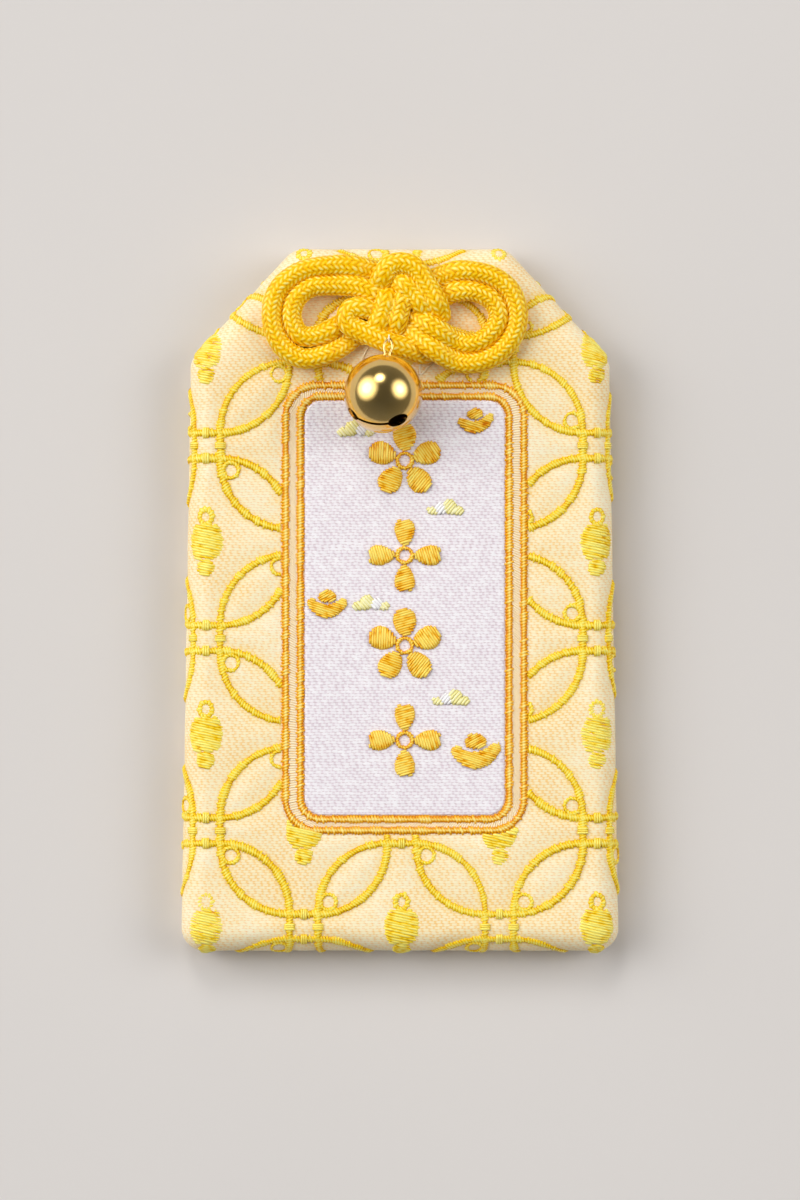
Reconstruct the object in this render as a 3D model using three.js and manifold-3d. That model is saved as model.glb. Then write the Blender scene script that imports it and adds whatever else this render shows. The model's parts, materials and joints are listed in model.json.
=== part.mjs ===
// Embroidered omamori charm: a padded cloth pouch with a sewn-on knot and a small bell.
// Millimetres. The pouch lies on its back: +Z out of its front, +Y towards its top edge.
import * as THREE from 'three';
import { mergeVertices } from 'three/addons/utils/BufferGeometryUtils.js';
import Module from 'manifold-3d';

const wasm = await Module();
wasm.setup();

// Pouch outline
const pouchLength = 90;
const topEdgeWidth = 27.4;
const shoulderWidth = 53.8;
const bottomWidth = 56.2;
const shoulderDrop = 14.3;
const topCornerRadius = 1.5;
const shoulderRadius = 4;
const bottomCornerRadius = 3;
const leastCornerRadius = 0.3;
const cornerSteps = 4;
const edgeRound = 3;

// Cloth and filling, from back to front
const clothThickness = 0.8;
const cardThickness = 1.6;
const slideClearance = 0.3;
const wrapperThickness = 1.2;
const waddingThickness = 1.3;
const backingThickness = 0.3;
const fillingRoom = 0.5;
const seamThreadDiameter = 0.5;
const seamThreadClearance = 0.3;

// Talisman and the mouth that it leaves by
const mouthLip = 1.7;
const mouthSideClearance = 1;
const talismanLength = 60;
const talismanBottomRoom = 10;
const paperThickness = 0.25;
const slipThickness = 0.4;
const slipSideClearance = 1;

// Embroidered centre
const panelCentreX = 0.6;
const panelDrop = 9.2;
const borderWidth = 31.2;
const borderLength = 57.6;
const borderRadius = 4.4;
const borderLine = 0.83;
const borderHeight = 0.45;
const borderBandSide = 1;
const borderBandEnd = 0.55;
const patchThickness = 0.25;
const patchClearance = 0.1;
const stitchHeight = 0.4;
const emblemCount = 4;
const emblemPitch = 11.8;
const emblemDiameter = 9.6;
const emblemScallop = 0.14;
const emblemEyeDiameter = 1.6;
const emblemShiftY = 0.8;
const ingotWidth = 5.2;
const ingotHeight = 3.6;
const ingotRightRoom = 6.3;
const ingotLeftRoom = 5.7;
const ingotUpperDrop = 6.5;
const ingotMiddleDrop = 1.3;
const ingotLowerRise = 8.3;
// Place about the centre of the border, and scale
const ingotPlaces = {
  ingot_upper: [borderWidth / 2 - ingotRightRoom, borderLength / 2 - ingotUpperDrop, 0.9],
  ingot_middle: [ingotLeftRoom - borderWidth / 2, -ingotMiddleDrop, 1],
  ingot_lower: [borderWidth / 2 - ingotRightRoom, ingotLowerRise - borderLength / 2, 1.25],
};

// Knot cord; its strands are pressed flat where they cross
const knotDrop = 8;
const cordDiameter = 2.3;
const crossingWidth = 1.65;
const crossingThickness = 1.25;
const crossingReach = 7;
const fullRoundReach = 9.5;
const strandGap = 0.2;
const clothGap = 0.3;
const cordSides = 8;
const cordStep = 0.62;
const tackThreadDiameter = 0.2;

// Bell
const bellDiameter = 10;
const bellWall = 0.35;
const bellHalfGap = 0.1;
const bellFacets = 28;
const bellRest = 0.3;
const bellTilt = 10;
const bellRoll = -5.7;
const slotWidth = 0.36;
const slotHoleDiameter = 1.5;
const slotSpan = 80;
const slotLean = 27;
const slotSkew = -8.5;
const slotShift = 8.5;
const eyeWire = 0.35;
const eyeHeight = 2.4;
const eyeWidth = 1.4;
const eyeNeck = 0.55;
const eyeHoleClearance = 0.15;
const eyeFoot = 1;
const eyeFootClearance = 0.15;
const eyeBend = 0.15;
const eyeShoulder = 1.3;
const tieX = -1.4;
const tieDrop = 3.8;
const tieThreadDiameter = 0.2;
const tieClearance = 0.12;
const peaDiameter = 2.4;
const peaClearance = 0.15;

// Heights and places that follow from the sizes above
const talismanBottom = clothThickness + cardThickness + slideClearance;
const talismanTop = talismanBottom + wrapperThickness;
const waddingBottom = talismanTop + slideClearance;
const backingBottom = waddingBottom + waddingThickness;
const frontFace = backingBottom + backingThickness + clothThickness;
const seamHeight = frontFace / 2;
const patchTop = frontFace + patchThickness;
const knotCentreY = pouchLength / 2 - knotDrop;
const panelCentreY = knotCentreY - panelDrop - borderLength / 2;
const tieY = knotCentreY - tieDrop;

const colours = {
  cloth: { color: 0xf8dfae, roughness: 0.85, metalness: 0 },
  patch: { color: 0xebe5ee, roughness: 0.8, metalness: 0 },
  goldThread: { color: 0xe9a42a, roughness: 0.5, metalness: 0 },
  cord: { color: 0xf6b81a, roughness: 0.55, metalness: 0 },
  clearThread: { color: 0xf1ece2, roughness: 0.3, metalness: 0 },
  seamThread: { color: 0xf3e2bd, roughness: 0.7, metalness: 0 },
  wadding: { color: 0xf7f4ee, roughness: 0.95, metalness: 0 },
  card: { color: 0xa89a86, roughness: 0.9, metalness: 0 },
  paper: { color: 0xf5efdf, roughness: 0.8, metalness: 0 },
  brass: { color: 0xd8ae54, roughness: 0.15, metalness: 1 },
  steel: { color: 0xb9bcc0, roughness: 0.3, metalness: 1 },
};

const charm = new THREE.Group();

function addPiece(name, geometry, colour, parent = charm) {
  const mesh = new THREE.Mesh(geometry, new THREE.MeshStandardMaterial(colours[colour]));
  mesh.name = name;
  parent.add(mesh);
  return mesh;
}

// Booleans

function toSolid(geometry) {
  const bare = geometry.clone();
  bare.deleteAttribute('normal');
  bare.deleteAttribute('uv');
  const merged = mergeVertices(bare, 1e-4);
  const vertProperties = new Float32Array(merged.attributes.position.array);
  const triVerts = new Uint32Array(merged.index.array);
  return new wasm.Manifold(new wasm.Mesh({ numProp: 3, vertProperties, triVerts }));
}

function fromSolid(solid) {
  const mesh = solid.getMesh();
  const geometry = new THREE.BufferGeometry();
  geometry.setAttribute('position', new THREE.BufferAttribute(mesh.vertProperties, 3));
  geometry.setIndex(new THREE.BufferAttribute(mesh.triVerts, 1));
  geometry.computeVertexNormals();
  return geometry;
}

function cut(geometry, ...tools) {
  const solid = tools.reduce((rest, tool) => rest.subtract(toSolid(tool)), toSolid(geometry));
  return fromSolid(solid);
}

// Pouch outline: a hexagon moved in by an inset, with each corner rounded

function outlineCorners(inset) {
  const top = pouchLength / 2;
  const points = [
    [topEdgeWidth / 2, top, topCornerRadius],
    [-topEdgeWidth / 2, top, topCornerRadius],
    [-shoulderWidth / 2, top - shoulderDrop, shoulderRadius],
    [-bottomWidth / 2, -top, bottomCornerRadius],
    [bottomWidth / 2, -top, bottomCornerRadius],
    [shoulderWidth / 2, top - shoulderDrop, shoulderRadius],
  ];
  return points.map(([x, y, radius], i) => {
    const here = new THREE.Vector2(x, y);
    const before = new THREE.Vector2(...points.at(i - 1));
    const after = new THREE.Vector2(...points[(i + 1) % points.length]);
    const arriving = here.clone().sub(before).normalize();
    const leaving = after.clone().sub(here).normalize();
    const turn = Math.acos(arriving.dot(leaving));
    const inward = leaving.clone().sub(arriving).normalize();
    const corner = here.addScaledVector(inward, inset / Math.cos(turn / 2));
    return { corner, arriving, turn, inward, radius: Math.max(radius - inset, leastCornerRadius) };
  });
}

function outlineRing(inset) {
  const ring = [];
  for (const { corner, arriving, turn, inward, radius } of outlineCorners(inset)) {
    const centre = corner.clone().addScaledVector(inward, radius / Math.cos(turn / 2));
    const start = Math.atan2(-arriving.x, arriving.y);
    for (let step = 0; step <= cornerSteps; step += 1) {
      const angle = start + (turn * step) / cornerSteps;
      const x = centre.x + radius * Math.cos(angle);
      const y = centre.y + radius * Math.sin(angle);
      ring.push(new THREE.Vector2(x, y));
    }
  }
  return ring;
}

// A closed skin through rings of equal count, with a flat cap at each end
function skinRings(rings, flip = false) {
  const count = rings[0].length;
  const centreOf = (ring) => ring.reduce((sum, p) => sum.add(p), new THREE.Vector3()).divideScalar(count);
  const vertices = [...rings.flat(), centreOf(rings[0]), centreOf(rings.at(-1))];
  const first = rings.length * count;
  const last = first + 1;
  const faces = [];
  const addFace = (a, b, c) => faces.push(...(flip ? [a, c, b] : [a, b, c]));
  for (let r = 0; r < rings.length - 1; r += 1) {
    for (let i = 0; i < count; i += 1) {
      const next = (i + 1) % count;
      const [a, b] = [r * count + i, r * count + next];
      addFace(a, b, a + count);
      addFace(b, b + count, a + count);
    }
  }
  for (let i = 0; i < count; i += 1) {
    const next = (i + 1) % count;
    addFace(first, next, i);
    addFace(last, first - count + i, first - count + next);
  }
  const geometry = new THREE.BufferGeometry().setFromPoints(vertices);
  geometry.setIndex(faces);
  geometry.computeVertexNormals();
  return geometry;
}

// One cloth panel: a tray whose wall bends round a quarter ellipse from the seam to the flat face
function clothPanel(side) {
  const bendSteps = 4;
  const outerRise = frontFace / 2;
  const wallRing = (bend, firstInset, rise) => {
    const inset = firstInset + (edgeRound - firstInset) * (1 - Math.cos(bend));
    const z = seamHeight + side * rise * Math.sin(bend);
    return outlineRing(inset).map((p) => new THREE.Vector3(p.x, p.y, z));
  };
  const bends = Array.from({ length: bendSteps + 1 }, (_, i) => (Math.PI / 2) * (i / bendSteps));
  const inside = bends.map((bend) => wallRing(bend, clothThickness, outerRise - clothThickness));
  const outside = bends.map((bend) => wallRing(bend, 0, outerRise));
  return skinRings([...inside.reverse(), ...outside], side < 0);
}

// A sheet of the pouch's own outline
function fillingSheet(bottom, thickness) {
  const shape = new THREE.Shape(outlineRing(edgeRound + fillingRoom));
  const geometry = new THREE.ExtrudeGeometry(shape, { depth: thickness, bevelEnabled: false });
  return geometry.translate(0, 0, bottom);
}

function roundSection(diameter, sides) {
  const points = Array.from({ length: sides }, (_, i) => {
    const angle = (2 * Math.PI * i) / sides;
    return new THREE.Vector2(Math.cos(angle), Math.sin(angle)).multiplyScalar(diameter / 2);
  });
  return new THREE.Shape(points);
}

function threadAlong(points, diameter, steps) {
  const path = new THREE.CatmullRomCurve3(points, false, 'centripetal');
  const section = roundSection(diameter, 6);
  return new THREE.ExtrudeGeometry(section, { steps, extrudePath: path, bevelEnabled: false });
}

function makePouch() {
  const mouthWidth = topEdgeWidth - 2 * mouthLip;
  const mouthHeight = wrapperThickness + 2 * slideClearance;
  const mouthDepth = 2 * edgeRound;
  const mouth = new THREE.BoxGeometry(mouthWidth, mouthDepth, mouthHeight);
  mouth.translate(0, pouchLength / 2, (talismanBottom + talismanTop) / 2);
  addPiece('front_panel', cut(clothPanel(1), mouth), 'cloth');
  addPiece('back_panel', cut(clothPanel(-1), mouth), 'cloth');
  addPiece('stiffener_card', fillingSheet(clothThickness, cardThickness), 'card');
  addPiece('wadding_sheet', fillingSheet(waddingBottom, waddingThickness), 'wadding');
  addPiece('embroidery_backing', fillingSheet(backingBottom, backingThickness), 'wadding');

  const seamInset = clothThickness + seamThreadClearance + seamThreadDiameter / 2;
  const ring = outlineRing(seamInset);
  const seam = [...ring.slice(cornerSteps + 2), ...ring.slice(0, cornerSteps)];
  const seamPath = seam.map((p) => new THREE.Vector3(p.x, p.y, seamHeight));
  addPiece('seam_thread', threadAlong(seamPath, seamThreadDiameter, 90), 'seamThread');

  const wrapperWidth = mouthWidth - 2 * mouthSideClearance;
  const wrapperEnd = -pouchLength / 2 + talismanBottomRoom;
  const wrapperMiddle = wrapperEnd + talismanLength / 2;
  const wrapper = new THREE.BoxGeometry(wrapperWidth, talismanLength, wrapperThickness);
  const pocketWidth = wrapperWidth - 2 * paperThickness;
  const pocketHeight = wrapperThickness - 2 * paperThickness;
  const pocket = new THREE.BoxGeometry(pocketWidth, talismanLength, pocketHeight);
  pocket.translate(0, paperThickness, 0);
  const envelope = cut(wrapper, pocket);
  envelope.translate(0, wrapperMiddle, (talismanBottom + talismanTop) / 2);
  addPiece('talisman_wrapper', envelope, 'paper');
  const slipLength = talismanLength - 2 * slipSideClearance;
  const slip = new THREE.BoxGeometry(pocketWidth - 2 * slipSideClearance, slipLength, slipThickness);
  slip.translate(0, wrapperMiddle, talismanBottom + paperThickness + slipThickness / 2);
  addPiece('talisman_slip', slip, 'paper');
}

// Embroidered centre

function roundedRectangle(PathType, width, length, radius) {
  const path = new PathType();
  const [x, y] = [width / 2 - radius, length / 2 - radius];
  path.absarc(x, y, radius, 0, Math.PI / 2);
  path.absarc(-x, y, radius, Math.PI / 2, Math.PI);
  path.absarc(-x, -y, radius, Math.PI, 1.5 * Math.PI);
  path.absarc(x, -y, radius, 1.5 * Math.PI, 2 * Math.PI);
  path.closePath();
  return path;
}

function raised(shape, bottom, height, x, y) {
  const geometry = new THREE.ExtrudeGeometry(shape, { depth: height, bevelEnabled: false, curveSegments: 6 });
  return geometry.translate(panelCentreX + x, panelCentreY + y, bottom);
}

function stitchedBorder(width, length, radius) {
  const shape = roundedRectangle(THREE.Shape, width, length, radius);
  const inner = [width - 2 * borderLine, length - 2 * borderLine, radius - borderLine];
  shape.holes.push(roundedRectangle(THREE.Path, ...inner));
  return raised(shape, frontFace, borderHeight, 0, 0);
}

// A boat-shaped ingot with a round bead rising from its middle
function ingotShape(scale) {
  const [w, h] = [(ingotWidth * scale) / 2, ingotHeight * scale];
  const [horn, waist, bead] = [h * 0.72, h * 0.45, h * 0.3];
  const [belly, brow] = [w * 0.75, w * 0.7];
  const shape = new THREE.Shape();
  shape.moveTo(-w, horn);
  shape.quadraticCurveTo(-belly, 0, 0, 0);
  shape.quadraticCurveTo(belly, 0, w, horn);
  shape.quadraticCurveTo(brow, waist, bead, waist);
  shape.absarc(0, h - bead, bead, -Math.PI / 6, Math.PI + Math.PI / 6);
  shape.lineTo(-bead, waist);
  shape.quadraticCurveTo(-brow, waist, -w, horn);
  return shape;
}

// A flower crest: five round petals or four pointed ones about an open eye
function emblemShape(petals) {
  const points = Array.from({ length: petals * 10 }, (_, i) => {
    const angle = (2 * Math.PI * i) / (petals * 10) + Math.PI / 2;
    const wave = Math.abs(Math.cos((petals * (angle - Math.PI / 2)) / 2));
    const radius = (emblemDiameter / 2) * (1 - 2 * emblemScallop * (1 - wave));
    return new THREE.Vector2(Math.cos(angle), Math.sin(angle)).multiplyScalar(radius);
  });
  const shape = new THREE.Shape(points);
  shape.holes.push(new THREE.Path().absarc(0, 0, emblemEyeDiameter / 2, 0, 2 * Math.PI, true));
  return shape;
}

function makeEmbroidery() {
  addPiece('border_outer', stitchedBorder(borderWidth, borderLength, borderRadius), 'goldThread');
  const innerWidth = borderWidth - 2 * (borderLine + borderBandSide);
  const innerLength = borderLength - 2 * (borderLine + borderBandEnd);
  const innerRadius = borderRadius - borderLine - borderBandEnd;
  addPiece('border_inner', stitchedBorder(innerWidth, innerLength, innerRadius), 'goldThread');

  const patchInset = borderLine + patchClearance;
  const patchSize = [innerWidth - 2 * patchInset, innerLength - 2 * patchInset, innerRadius - patchInset];
  const patch = roundedRectangle(THREE.Shape, ...patchSize);
  addPiece('centre_patch', raised(patch, frontFace, patchThickness, 0, 0), 'patch');

  for (const [name, [x, y, scale]] of Object.entries(ingotPlaces)) {
    addPiece(name, raised(ingotShape(scale), patchTop, stitchHeight, x, y), 'goldThread');
  }
  for (let i = 0; i < emblemCount; i += 1) {
    const y = emblemShiftY + emblemPitch * ((emblemCount - 1) / 2 - i);
    const petals = i % 2 ? 4 : 5;
    addPiece(`emblem_${i + 1}`, raised(emblemShape(petals), patchTop, stitchHeight, 0, y), 'goldThread');
  }
}

// Knot: two cords laid side by side, each going under and over the other.
// A route point gives x and y about the knot's centre and the height above the cloth.

const lying = clothGap + cordDiameter / 2;
const under = clothGap + crossingThickness / 2;
const over = under + crossingThickness + strandGap;
const midway = (under + over) / 2;

const outerRoute = [
  [-5.6, -2.9, under], [-7, -4.3, under], [-9.4, -5.7, lying],
  [-12.4, -6.2, lying], [-15.1, -4.5, lying], [-16.3, -0.9, lying], [-15.5, 2.5, lying], [-12.7, 4.8, lying],
  [-8.4, 5.6, lying], [-5.9, 5.5, lying], [-4.2, 5.1, under], [-2, 4.5, under],
  [0.1, 4, midway], [1.6, 3.1, over], [3, 1.8, over], [3.8, 0.6, over], [4.4, -0.6, midway],
  [4.9, -2, under], [5, -3.7, under], [4.5, -5.2, under], [3.1, -6.1, midway],
  [1, -5.3, over], [-1.5, -4.4, over], [-3.6, -3.6, over], [-5.3, -2.9, over],
  [-6.4, -2.3, over], [-7, -0.9, over], [-6.3, 0.4, over], [-4.8, 0.7, over],
  [-3.1, 0.1, midway], [-1.5, -0.8, under], [0.1, -1.7, under], [1.9, -3.1, midway], [4.1, -4.9, over],
  [7.1, -6.6, lying], [9.6, -6.8, lying], [12.6, -5.5, lying], [14.5, -3.1, lying], [15, -0.4, lying],
  [14, 2.5, lying], [11.8, 4.2, lying], [9, 4.9, lying], [7.1, 4.9, lying],
  [5.6, 4.4, under], [4.1, 3.8, under], [2.9, 3.2, under],
];
const innerRoute = [
  [2.7, 5.4, under], [1.3, 6.2, midway], [-0.1, 6.4, over], [-1.3, 5.7, over], [-2.1, 4.3, over],
  [-3.1, 2.3, under], [-4, 1.3, under], [-5, 0.3, under], [-6.1, -0.7, under], [-7.3, -1.7, under],
  [-8.9, -2.6, lying], [-10.9, -3.4, lying], [-12.7, -3.2, lying], [-13.8, -1.1, lying], [-13.3, 1.2, lying],
  [-11.4, 2.8, lying], [-8.4, 3.1, lying], [-5.4, 2.9, midway], [-3, 2.1, over],
  [-0.8, 0.8, under], [1, -0.3, under], [2.2, -1.1, midway], [3.5, -1.9, over], [5.2, -2.9, over],
  [7.2, -4, lying], [9.4, -4.3, lying], [11.4, -3.2, lying], [12.6, -0.8, lying], [11.7, 1.2, lying],
  [9.4, 2.3, lying], [7.1, 2.3, lying], [5.2, 1.6, under], [3.3, 1.4, under], [2.1, 1.7, under],
  [1.1, 1.8, midway], [0.1, 1.4, over], [-0.8, 0.4, over], [-1.3, -1, over], [-1.45, -2.4, midway],
  [-1.45, -3.4, under], [-1.35, -4.4, under],
];

function routeCurve(route) {
  const points = route.map(([x, y, height]) => new THREE.Vector3(x, knotCentreY + y, frontFace + height));
  return new THREE.CatmullRomCurve3(points, false, 'centripetal');
}

// The cord's section is an ellipse that lies flat on the cloth, narrowest at the crossings
function cordTube(route) {
  const curve = routeCurve(route);
  const steps = Math.round(curve.getLength() / cordStep);
  const rings = Array.from({ length: steps + 1 }, (_, i) => {
    const centre = curve.getPointAt(i / steps);
    const tangent = curve.getTangentAt(i / steps);
    const side = new THREE.Vector3(0, 0, 1).cross(tangent).normalize();
    const up = tangent.clone().cross(side);
    const round = THREE.MathUtils.smoothstep(Math.abs(centre.x), crossingReach, fullRoundReach);
    const halfWidth = THREE.MathUtils.lerp(crossingWidth, cordDiameter, round) / 2;
    const halfThickness = THREE.MathUtils.lerp(crossingThickness, cordDiameter, round) / 2;
    return Array.from({ length: cordSides }, (__, j) => {
      const angle = (2 * Math.PI * (j + 0.5)) / cordSides;
      const offset = side.clone().multiplyScalar(halfWidth * Math.cos(angle));
      offset.addScaledVector(up, halfThickness * Math.sin(angle));
      return offset.add(centre);
    });
  });
  return skinRings(rings);
}

function makeKnot() {
  addPiece('knot_cord_outer', cordTube(outerRoute), 'cord');
  addPiece('knot_cord_inner', cordTube(innerRoute), 'cord');

  const tackHeight = frontFace + clothGap / 2;
  const tackTails = {
    tack_thread_right: [[3.4, -4.6], [2.6, -7], [2.6, -8.2], [3.7, -7.2], [4.6, -6.6]],
    tack_thread_left: [[-4, -4.6], [-4.7, -6], [-4.9, -7], [-4.5, -7.7]],
  };
  for (const [name, tail] of Object.entries(tackTails)) {
    const points = tail.map(([x, y]) => new THREE.Vector3(x, knotCentreY + y, tackHeight));
    addPiece(name, threadAlong(points, tackThreadDiameter, 14), 'clearThread');
  }
}

// Bell: two half shells about its own Y axis, its wire eye on top and its slot below

// Points of a quarter circle from the seam of the bell up to its pole, or to a hole there
function quarterArc(radius, poleHole) {
  const arcSteps = 9;
  const from = Math.asin(bellHalfGap / 2 / radius);
  const to = Math.acos(poleHole / radius);
  return Array.from({ length: arcSteps + 1 }, (_, i) => {
    const angle = from + ((to - from) * i) / arcSteps;
    const x = i === arcSteps ? poleHole : radius * Math.cos(angle);
    return new THREE.Vector2(x, radius * Math.sin(angle));
  });
}

function upperShell(poleHole) {
  const outside = quarterArc(bellDiameter / 2, poleHole);
  const inside = quarterArc(bellDiameter / 2 - bellWall, poleHole).reverse();
  return new THREE.LatheGeometry([...outside, ...inside, outside[0].clone()], bellFacets);
}

function lowerShell() {
  const below = ({ x, y }) => new THREE.Vector2(x, -y);
  const outside = quarterArc(bellDiameter / 2, 0).map(below).reverse();
  const inside = quarterArc(bellDiameter / 2 - bellWall, 0).map(below);
  return new THREE.LatheGeometry([...outside, ...inside], bellFacets);
}

function soundSlot() {
  const reach = bellDiameter / 2 + bellWall;
  const half = THREE.MathUtils.degToRad(slotSpan / 2);
  const middle = -Math.PI / 2 - THREE.MathUtils.degToRad(slotShift);
  const sector = new THREE.Shape();
  sector.moveTo(0, 0);
  sector.absarc(0, 0, reach, middle - half, middle + half);
  sector.closePath();
  const slit = new THREE.ExtrudeGeometry(sector, { depth: slotWidth, bevelEnabled: false, curveSegments: 8 });
  slit.translate(0, 0, -slotWidth / 2);
  const ends = [middle - half, middle + half].map((angle) => {
    const hole = new THREE.CylinderGeometry(slotHoleDiameter / 2, slotHoleDiameter / 2, reach, 12);
    return hole.translate(0, reach / 2, 0).rotateZ(angle - Math.PI / 2);
  });
  return [slit, ...ends].map((tool) => tool
    .rotateX(THREE.MathUtils.degToRad(-slotLean))
    .rotateY(THREE.MathUtils.degToRad(slotSkew)));
}

function makeBell() {
  const radius = bellDiameter / 2;
  const eyeTop = radius + eyeHeight - eyeWire / 2;
  const restHeight = frontFace + borderHeight + bellRest + radius;
  const tilt = THREE.MathUtils.degToRad(bellTilt);
  const roll = THREE.MathUtils.degToRad(bellRoll);
  const bell = new THREE.Group();
  bell.rotation.set(-tilt, 0, roll);
  const eyeOffset = new THREE.Vector3(0, eyeTop, 0).applyEuler(bell.rotation);
  bell.position.set(tieX - eyeOffset.x, tieY - eyeOffset.y, restHeight);
  charm.add(bell);

  const holeRadius = eyeNeck / 2 + eyeWire / 2 + eyeHoleClearance;
  addPiece('bell_upper_shell', upperShell(holeRadius), 'brass', bell);
  addPiece('bell_lower_shell', cut(lowerShell(), ...soundSlot()), 'brass', bell);

  const footHeight = radius - bellWall - eyeWire - eyeFootClearance;
  const half = eyeWidth / 2 - eyeWire / 2;
  const neck = eyeNeck / 2;
  const leg = [
    [eyeFoot, footHeight], [neck + eyeBend, footHeight], [neck, radius - bellWall / 2],
    [neck, radius + eyeBend], [half, radius + eyeShoulder],
  ];
  const mirrored = leg.map(([x, y]) => [-x, y]).reverse();
  const wire = [...leg, [0, eyeTop], ...mirrored].map(([x, y]) => new THREE.Vector3(x, y, 0));
  addPiece('bell_eye', threadAlong(wire, eyeWire, 48), 'brass', bell);

  const peaOrbit = radius - bellWall - peaDiameter / 2 - peaClearance;
  const pea = new THREE.SphereGeometry(peaDiameter / 2, 14, 10).translate(0, 0, -peaOrbit);
  addPiece('bell_pea', pea, 'steel', bell);

  // The tie is a loop through the eye, with both legs sewn into the lowest strand of the knot
  const eyeHeightOverFloor = restHeight + eyeOffset.z;
  const strandTop = frontFace + over + crossingThickness / 2 + strandGap;
  const loopRadius = eyeWire / 2 + tieClearance + tieThreadDiameter / 2;
  const legPoint = (side) => [side * loopRadius, strandTop];
  const crown = Array.from({ length: 7 }, (_, i) => {
    const angle = Math.PI * (1 - i / 6);
    return [loopRadius * Math.cos(angle), eyeHeightOverFloor + loopRadius * Math.sin(angle)];
  });
  const loop = [legPoint(-1), ...crown, legPoint(1)].map(([y, z]) => new THREE.Vector3(tieX, tieY + y, z));
  addPiece('bell_tie_thread', threadAlong(loop, tieThreadDiameter, 20), 'clearThread');
}

makePouch();
makeEmbroidery();
makeKnot();
makeBell();

export default charm;
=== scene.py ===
# Omamori charm: stitched cloth, braided knot and bell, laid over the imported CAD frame
import json

import bpy
import numpy as np
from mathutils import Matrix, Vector


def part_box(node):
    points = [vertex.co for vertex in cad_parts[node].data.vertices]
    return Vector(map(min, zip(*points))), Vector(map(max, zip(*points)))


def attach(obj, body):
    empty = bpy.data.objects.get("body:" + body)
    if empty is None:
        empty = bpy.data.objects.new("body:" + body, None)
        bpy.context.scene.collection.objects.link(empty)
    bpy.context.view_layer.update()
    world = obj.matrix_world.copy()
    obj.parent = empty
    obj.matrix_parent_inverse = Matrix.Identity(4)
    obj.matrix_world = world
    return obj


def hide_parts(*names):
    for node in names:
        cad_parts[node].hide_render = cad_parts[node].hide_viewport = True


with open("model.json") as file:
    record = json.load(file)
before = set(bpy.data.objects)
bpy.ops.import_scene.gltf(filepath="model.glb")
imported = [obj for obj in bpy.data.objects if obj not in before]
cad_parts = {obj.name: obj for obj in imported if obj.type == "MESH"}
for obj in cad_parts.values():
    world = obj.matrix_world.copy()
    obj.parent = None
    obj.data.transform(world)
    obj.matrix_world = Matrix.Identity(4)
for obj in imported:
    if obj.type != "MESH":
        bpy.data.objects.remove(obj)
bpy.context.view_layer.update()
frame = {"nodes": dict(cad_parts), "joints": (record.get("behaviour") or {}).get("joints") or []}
mm = 0.001  # every size below is in millimetres
print("stage: frame loaded")


# Nodes and materials

def linear(hexColour):
    # sRGB to linear: a short straight part near black, then a power curve
    srgb = np.array([int(hexColour[i:i + 2], 16) / 255 for i in (1, 3, 5)])
    light = np.where(srgb <= 0.04045, srgb / 12.92, ((srgb + 0.055) / 1.055) ** 2.4)
    return (*light.tolist(), 1.0)


def linkInto(tree, node, links):
    # a link comes from a socket, or from a node's first socket
    for key, source in links.items():
        tree.links.new(getattr(source, "outputs", [source])[0], node.inputs[key])


def addNode(tree, kind, settings=None, links=None):
    # settings go to the node's own properties, or else to its sockets; stops fill a colour ramp
    node = tree.nodes.new("ShaderNode" + kind)
    for key, value in (settings or {}).items():
        if key == "stops":
            for i, (place, colour) in enumerate(value):
                stop = node.color_ramp.elements[i] if i < 2 else node.color_ramp.elements.new(place)
                stop.position, stop.color = place, linear(colour)
        elif isinstance(key, str) and hasattr(node, key):
            setattr(node, key, value)
        else:
            node.inputs[key].default_value = value
    linkInto(tree, node, links or {})
    return node


def startMaterial(name, settings):
    material = bpy.data.materials.new(name)
    material.use_nodes = True
    tree = material.node_tree
    tree.nodes.clear()
    shader = addNode(tree, "BsdfPrincipled", settings)
    addNode(tree, "OutputMaterial", links={"Surface": shader})
    return material, tree, shader


def grained(name, settings, grain, stops, bump=None, marks=None, attribute=None, uneven=0.0):
    # Colour drifts between the stops with a noise in Object coordinates. With an attribute of the mesh, the
    # ramp follows that, and the noise makes it uneven. bump raises the noise, or one of its own, the marks.
    material, tree, shader = startMaterial(name, settings)
    place = {"Vector": addNode(tree, "TexCoord").outputs["Object"]}
    noise = addNode(tree, "TexNoise", grain, place)
    level = noise
    if attribute:
        mark = addNode(tree, "Attribute", {"attribute_name": attribute})
        centred = addNode(tree, "Math", {"operation": "SUBTRACT", 1: 0.5}, {0: noise})
        level = addNode(tree, "Math", {"operation": "MULTIPLY_ADD", 1: uneven, "use_clamp": True},
                        {0: centred, 2: mark.outputs["Fac"]})
    links = {"Base Color": addNode(tree, "ValToRGB", {"stops": stops}, {0: level})}
    if bump:
        raised = addNode(tree, "TexNoise", marks, place) if marks else noise
        links["Normal"] = addNode(tree, "Bump", bump, {"Height": raised})
    linkInto(tree, shader, links)
    return material


# Camera and light

photo = {"height": 1200, "pixel": 90 / 705, "distance": 700}  # pixel: mm at the front face
studio = {
    "zenith": 0.1, "horizon": 0.22,  # world light from overhead and from the sides
    "overhead": 0.9,  # how steep a direction is when it counts as overhead
    "worldColour": "#F5F5F5", "floorColour": "#D9D4D0", "floorCloud": "#DCD7D3",
    "floorSize": 9000, "floorGrain": 9.0,  # clouds about 110 mm wide
    # direction to the softbox, distance, disc diameter, watts
    "lamps": {
        "softboxLeft": ((-0.74, 0.25, 0.62), 2500, 3400, 55),
        "softboxRight": ((0.76, 0.2, 0.62), 2500, 2600, 30),
        "softboxBack": ((-0.16, 0.71, 0.68), 2500, 1300, 15),
    },
    # each softbox is a few discs, so that it fades towards its edge: share of diameter, of watts
    "discs": [(1.0, 0.3), (0.8, 0.28), (0.6, 0.24), (0.38, 0.18)], "discGap": 5,
}


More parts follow.
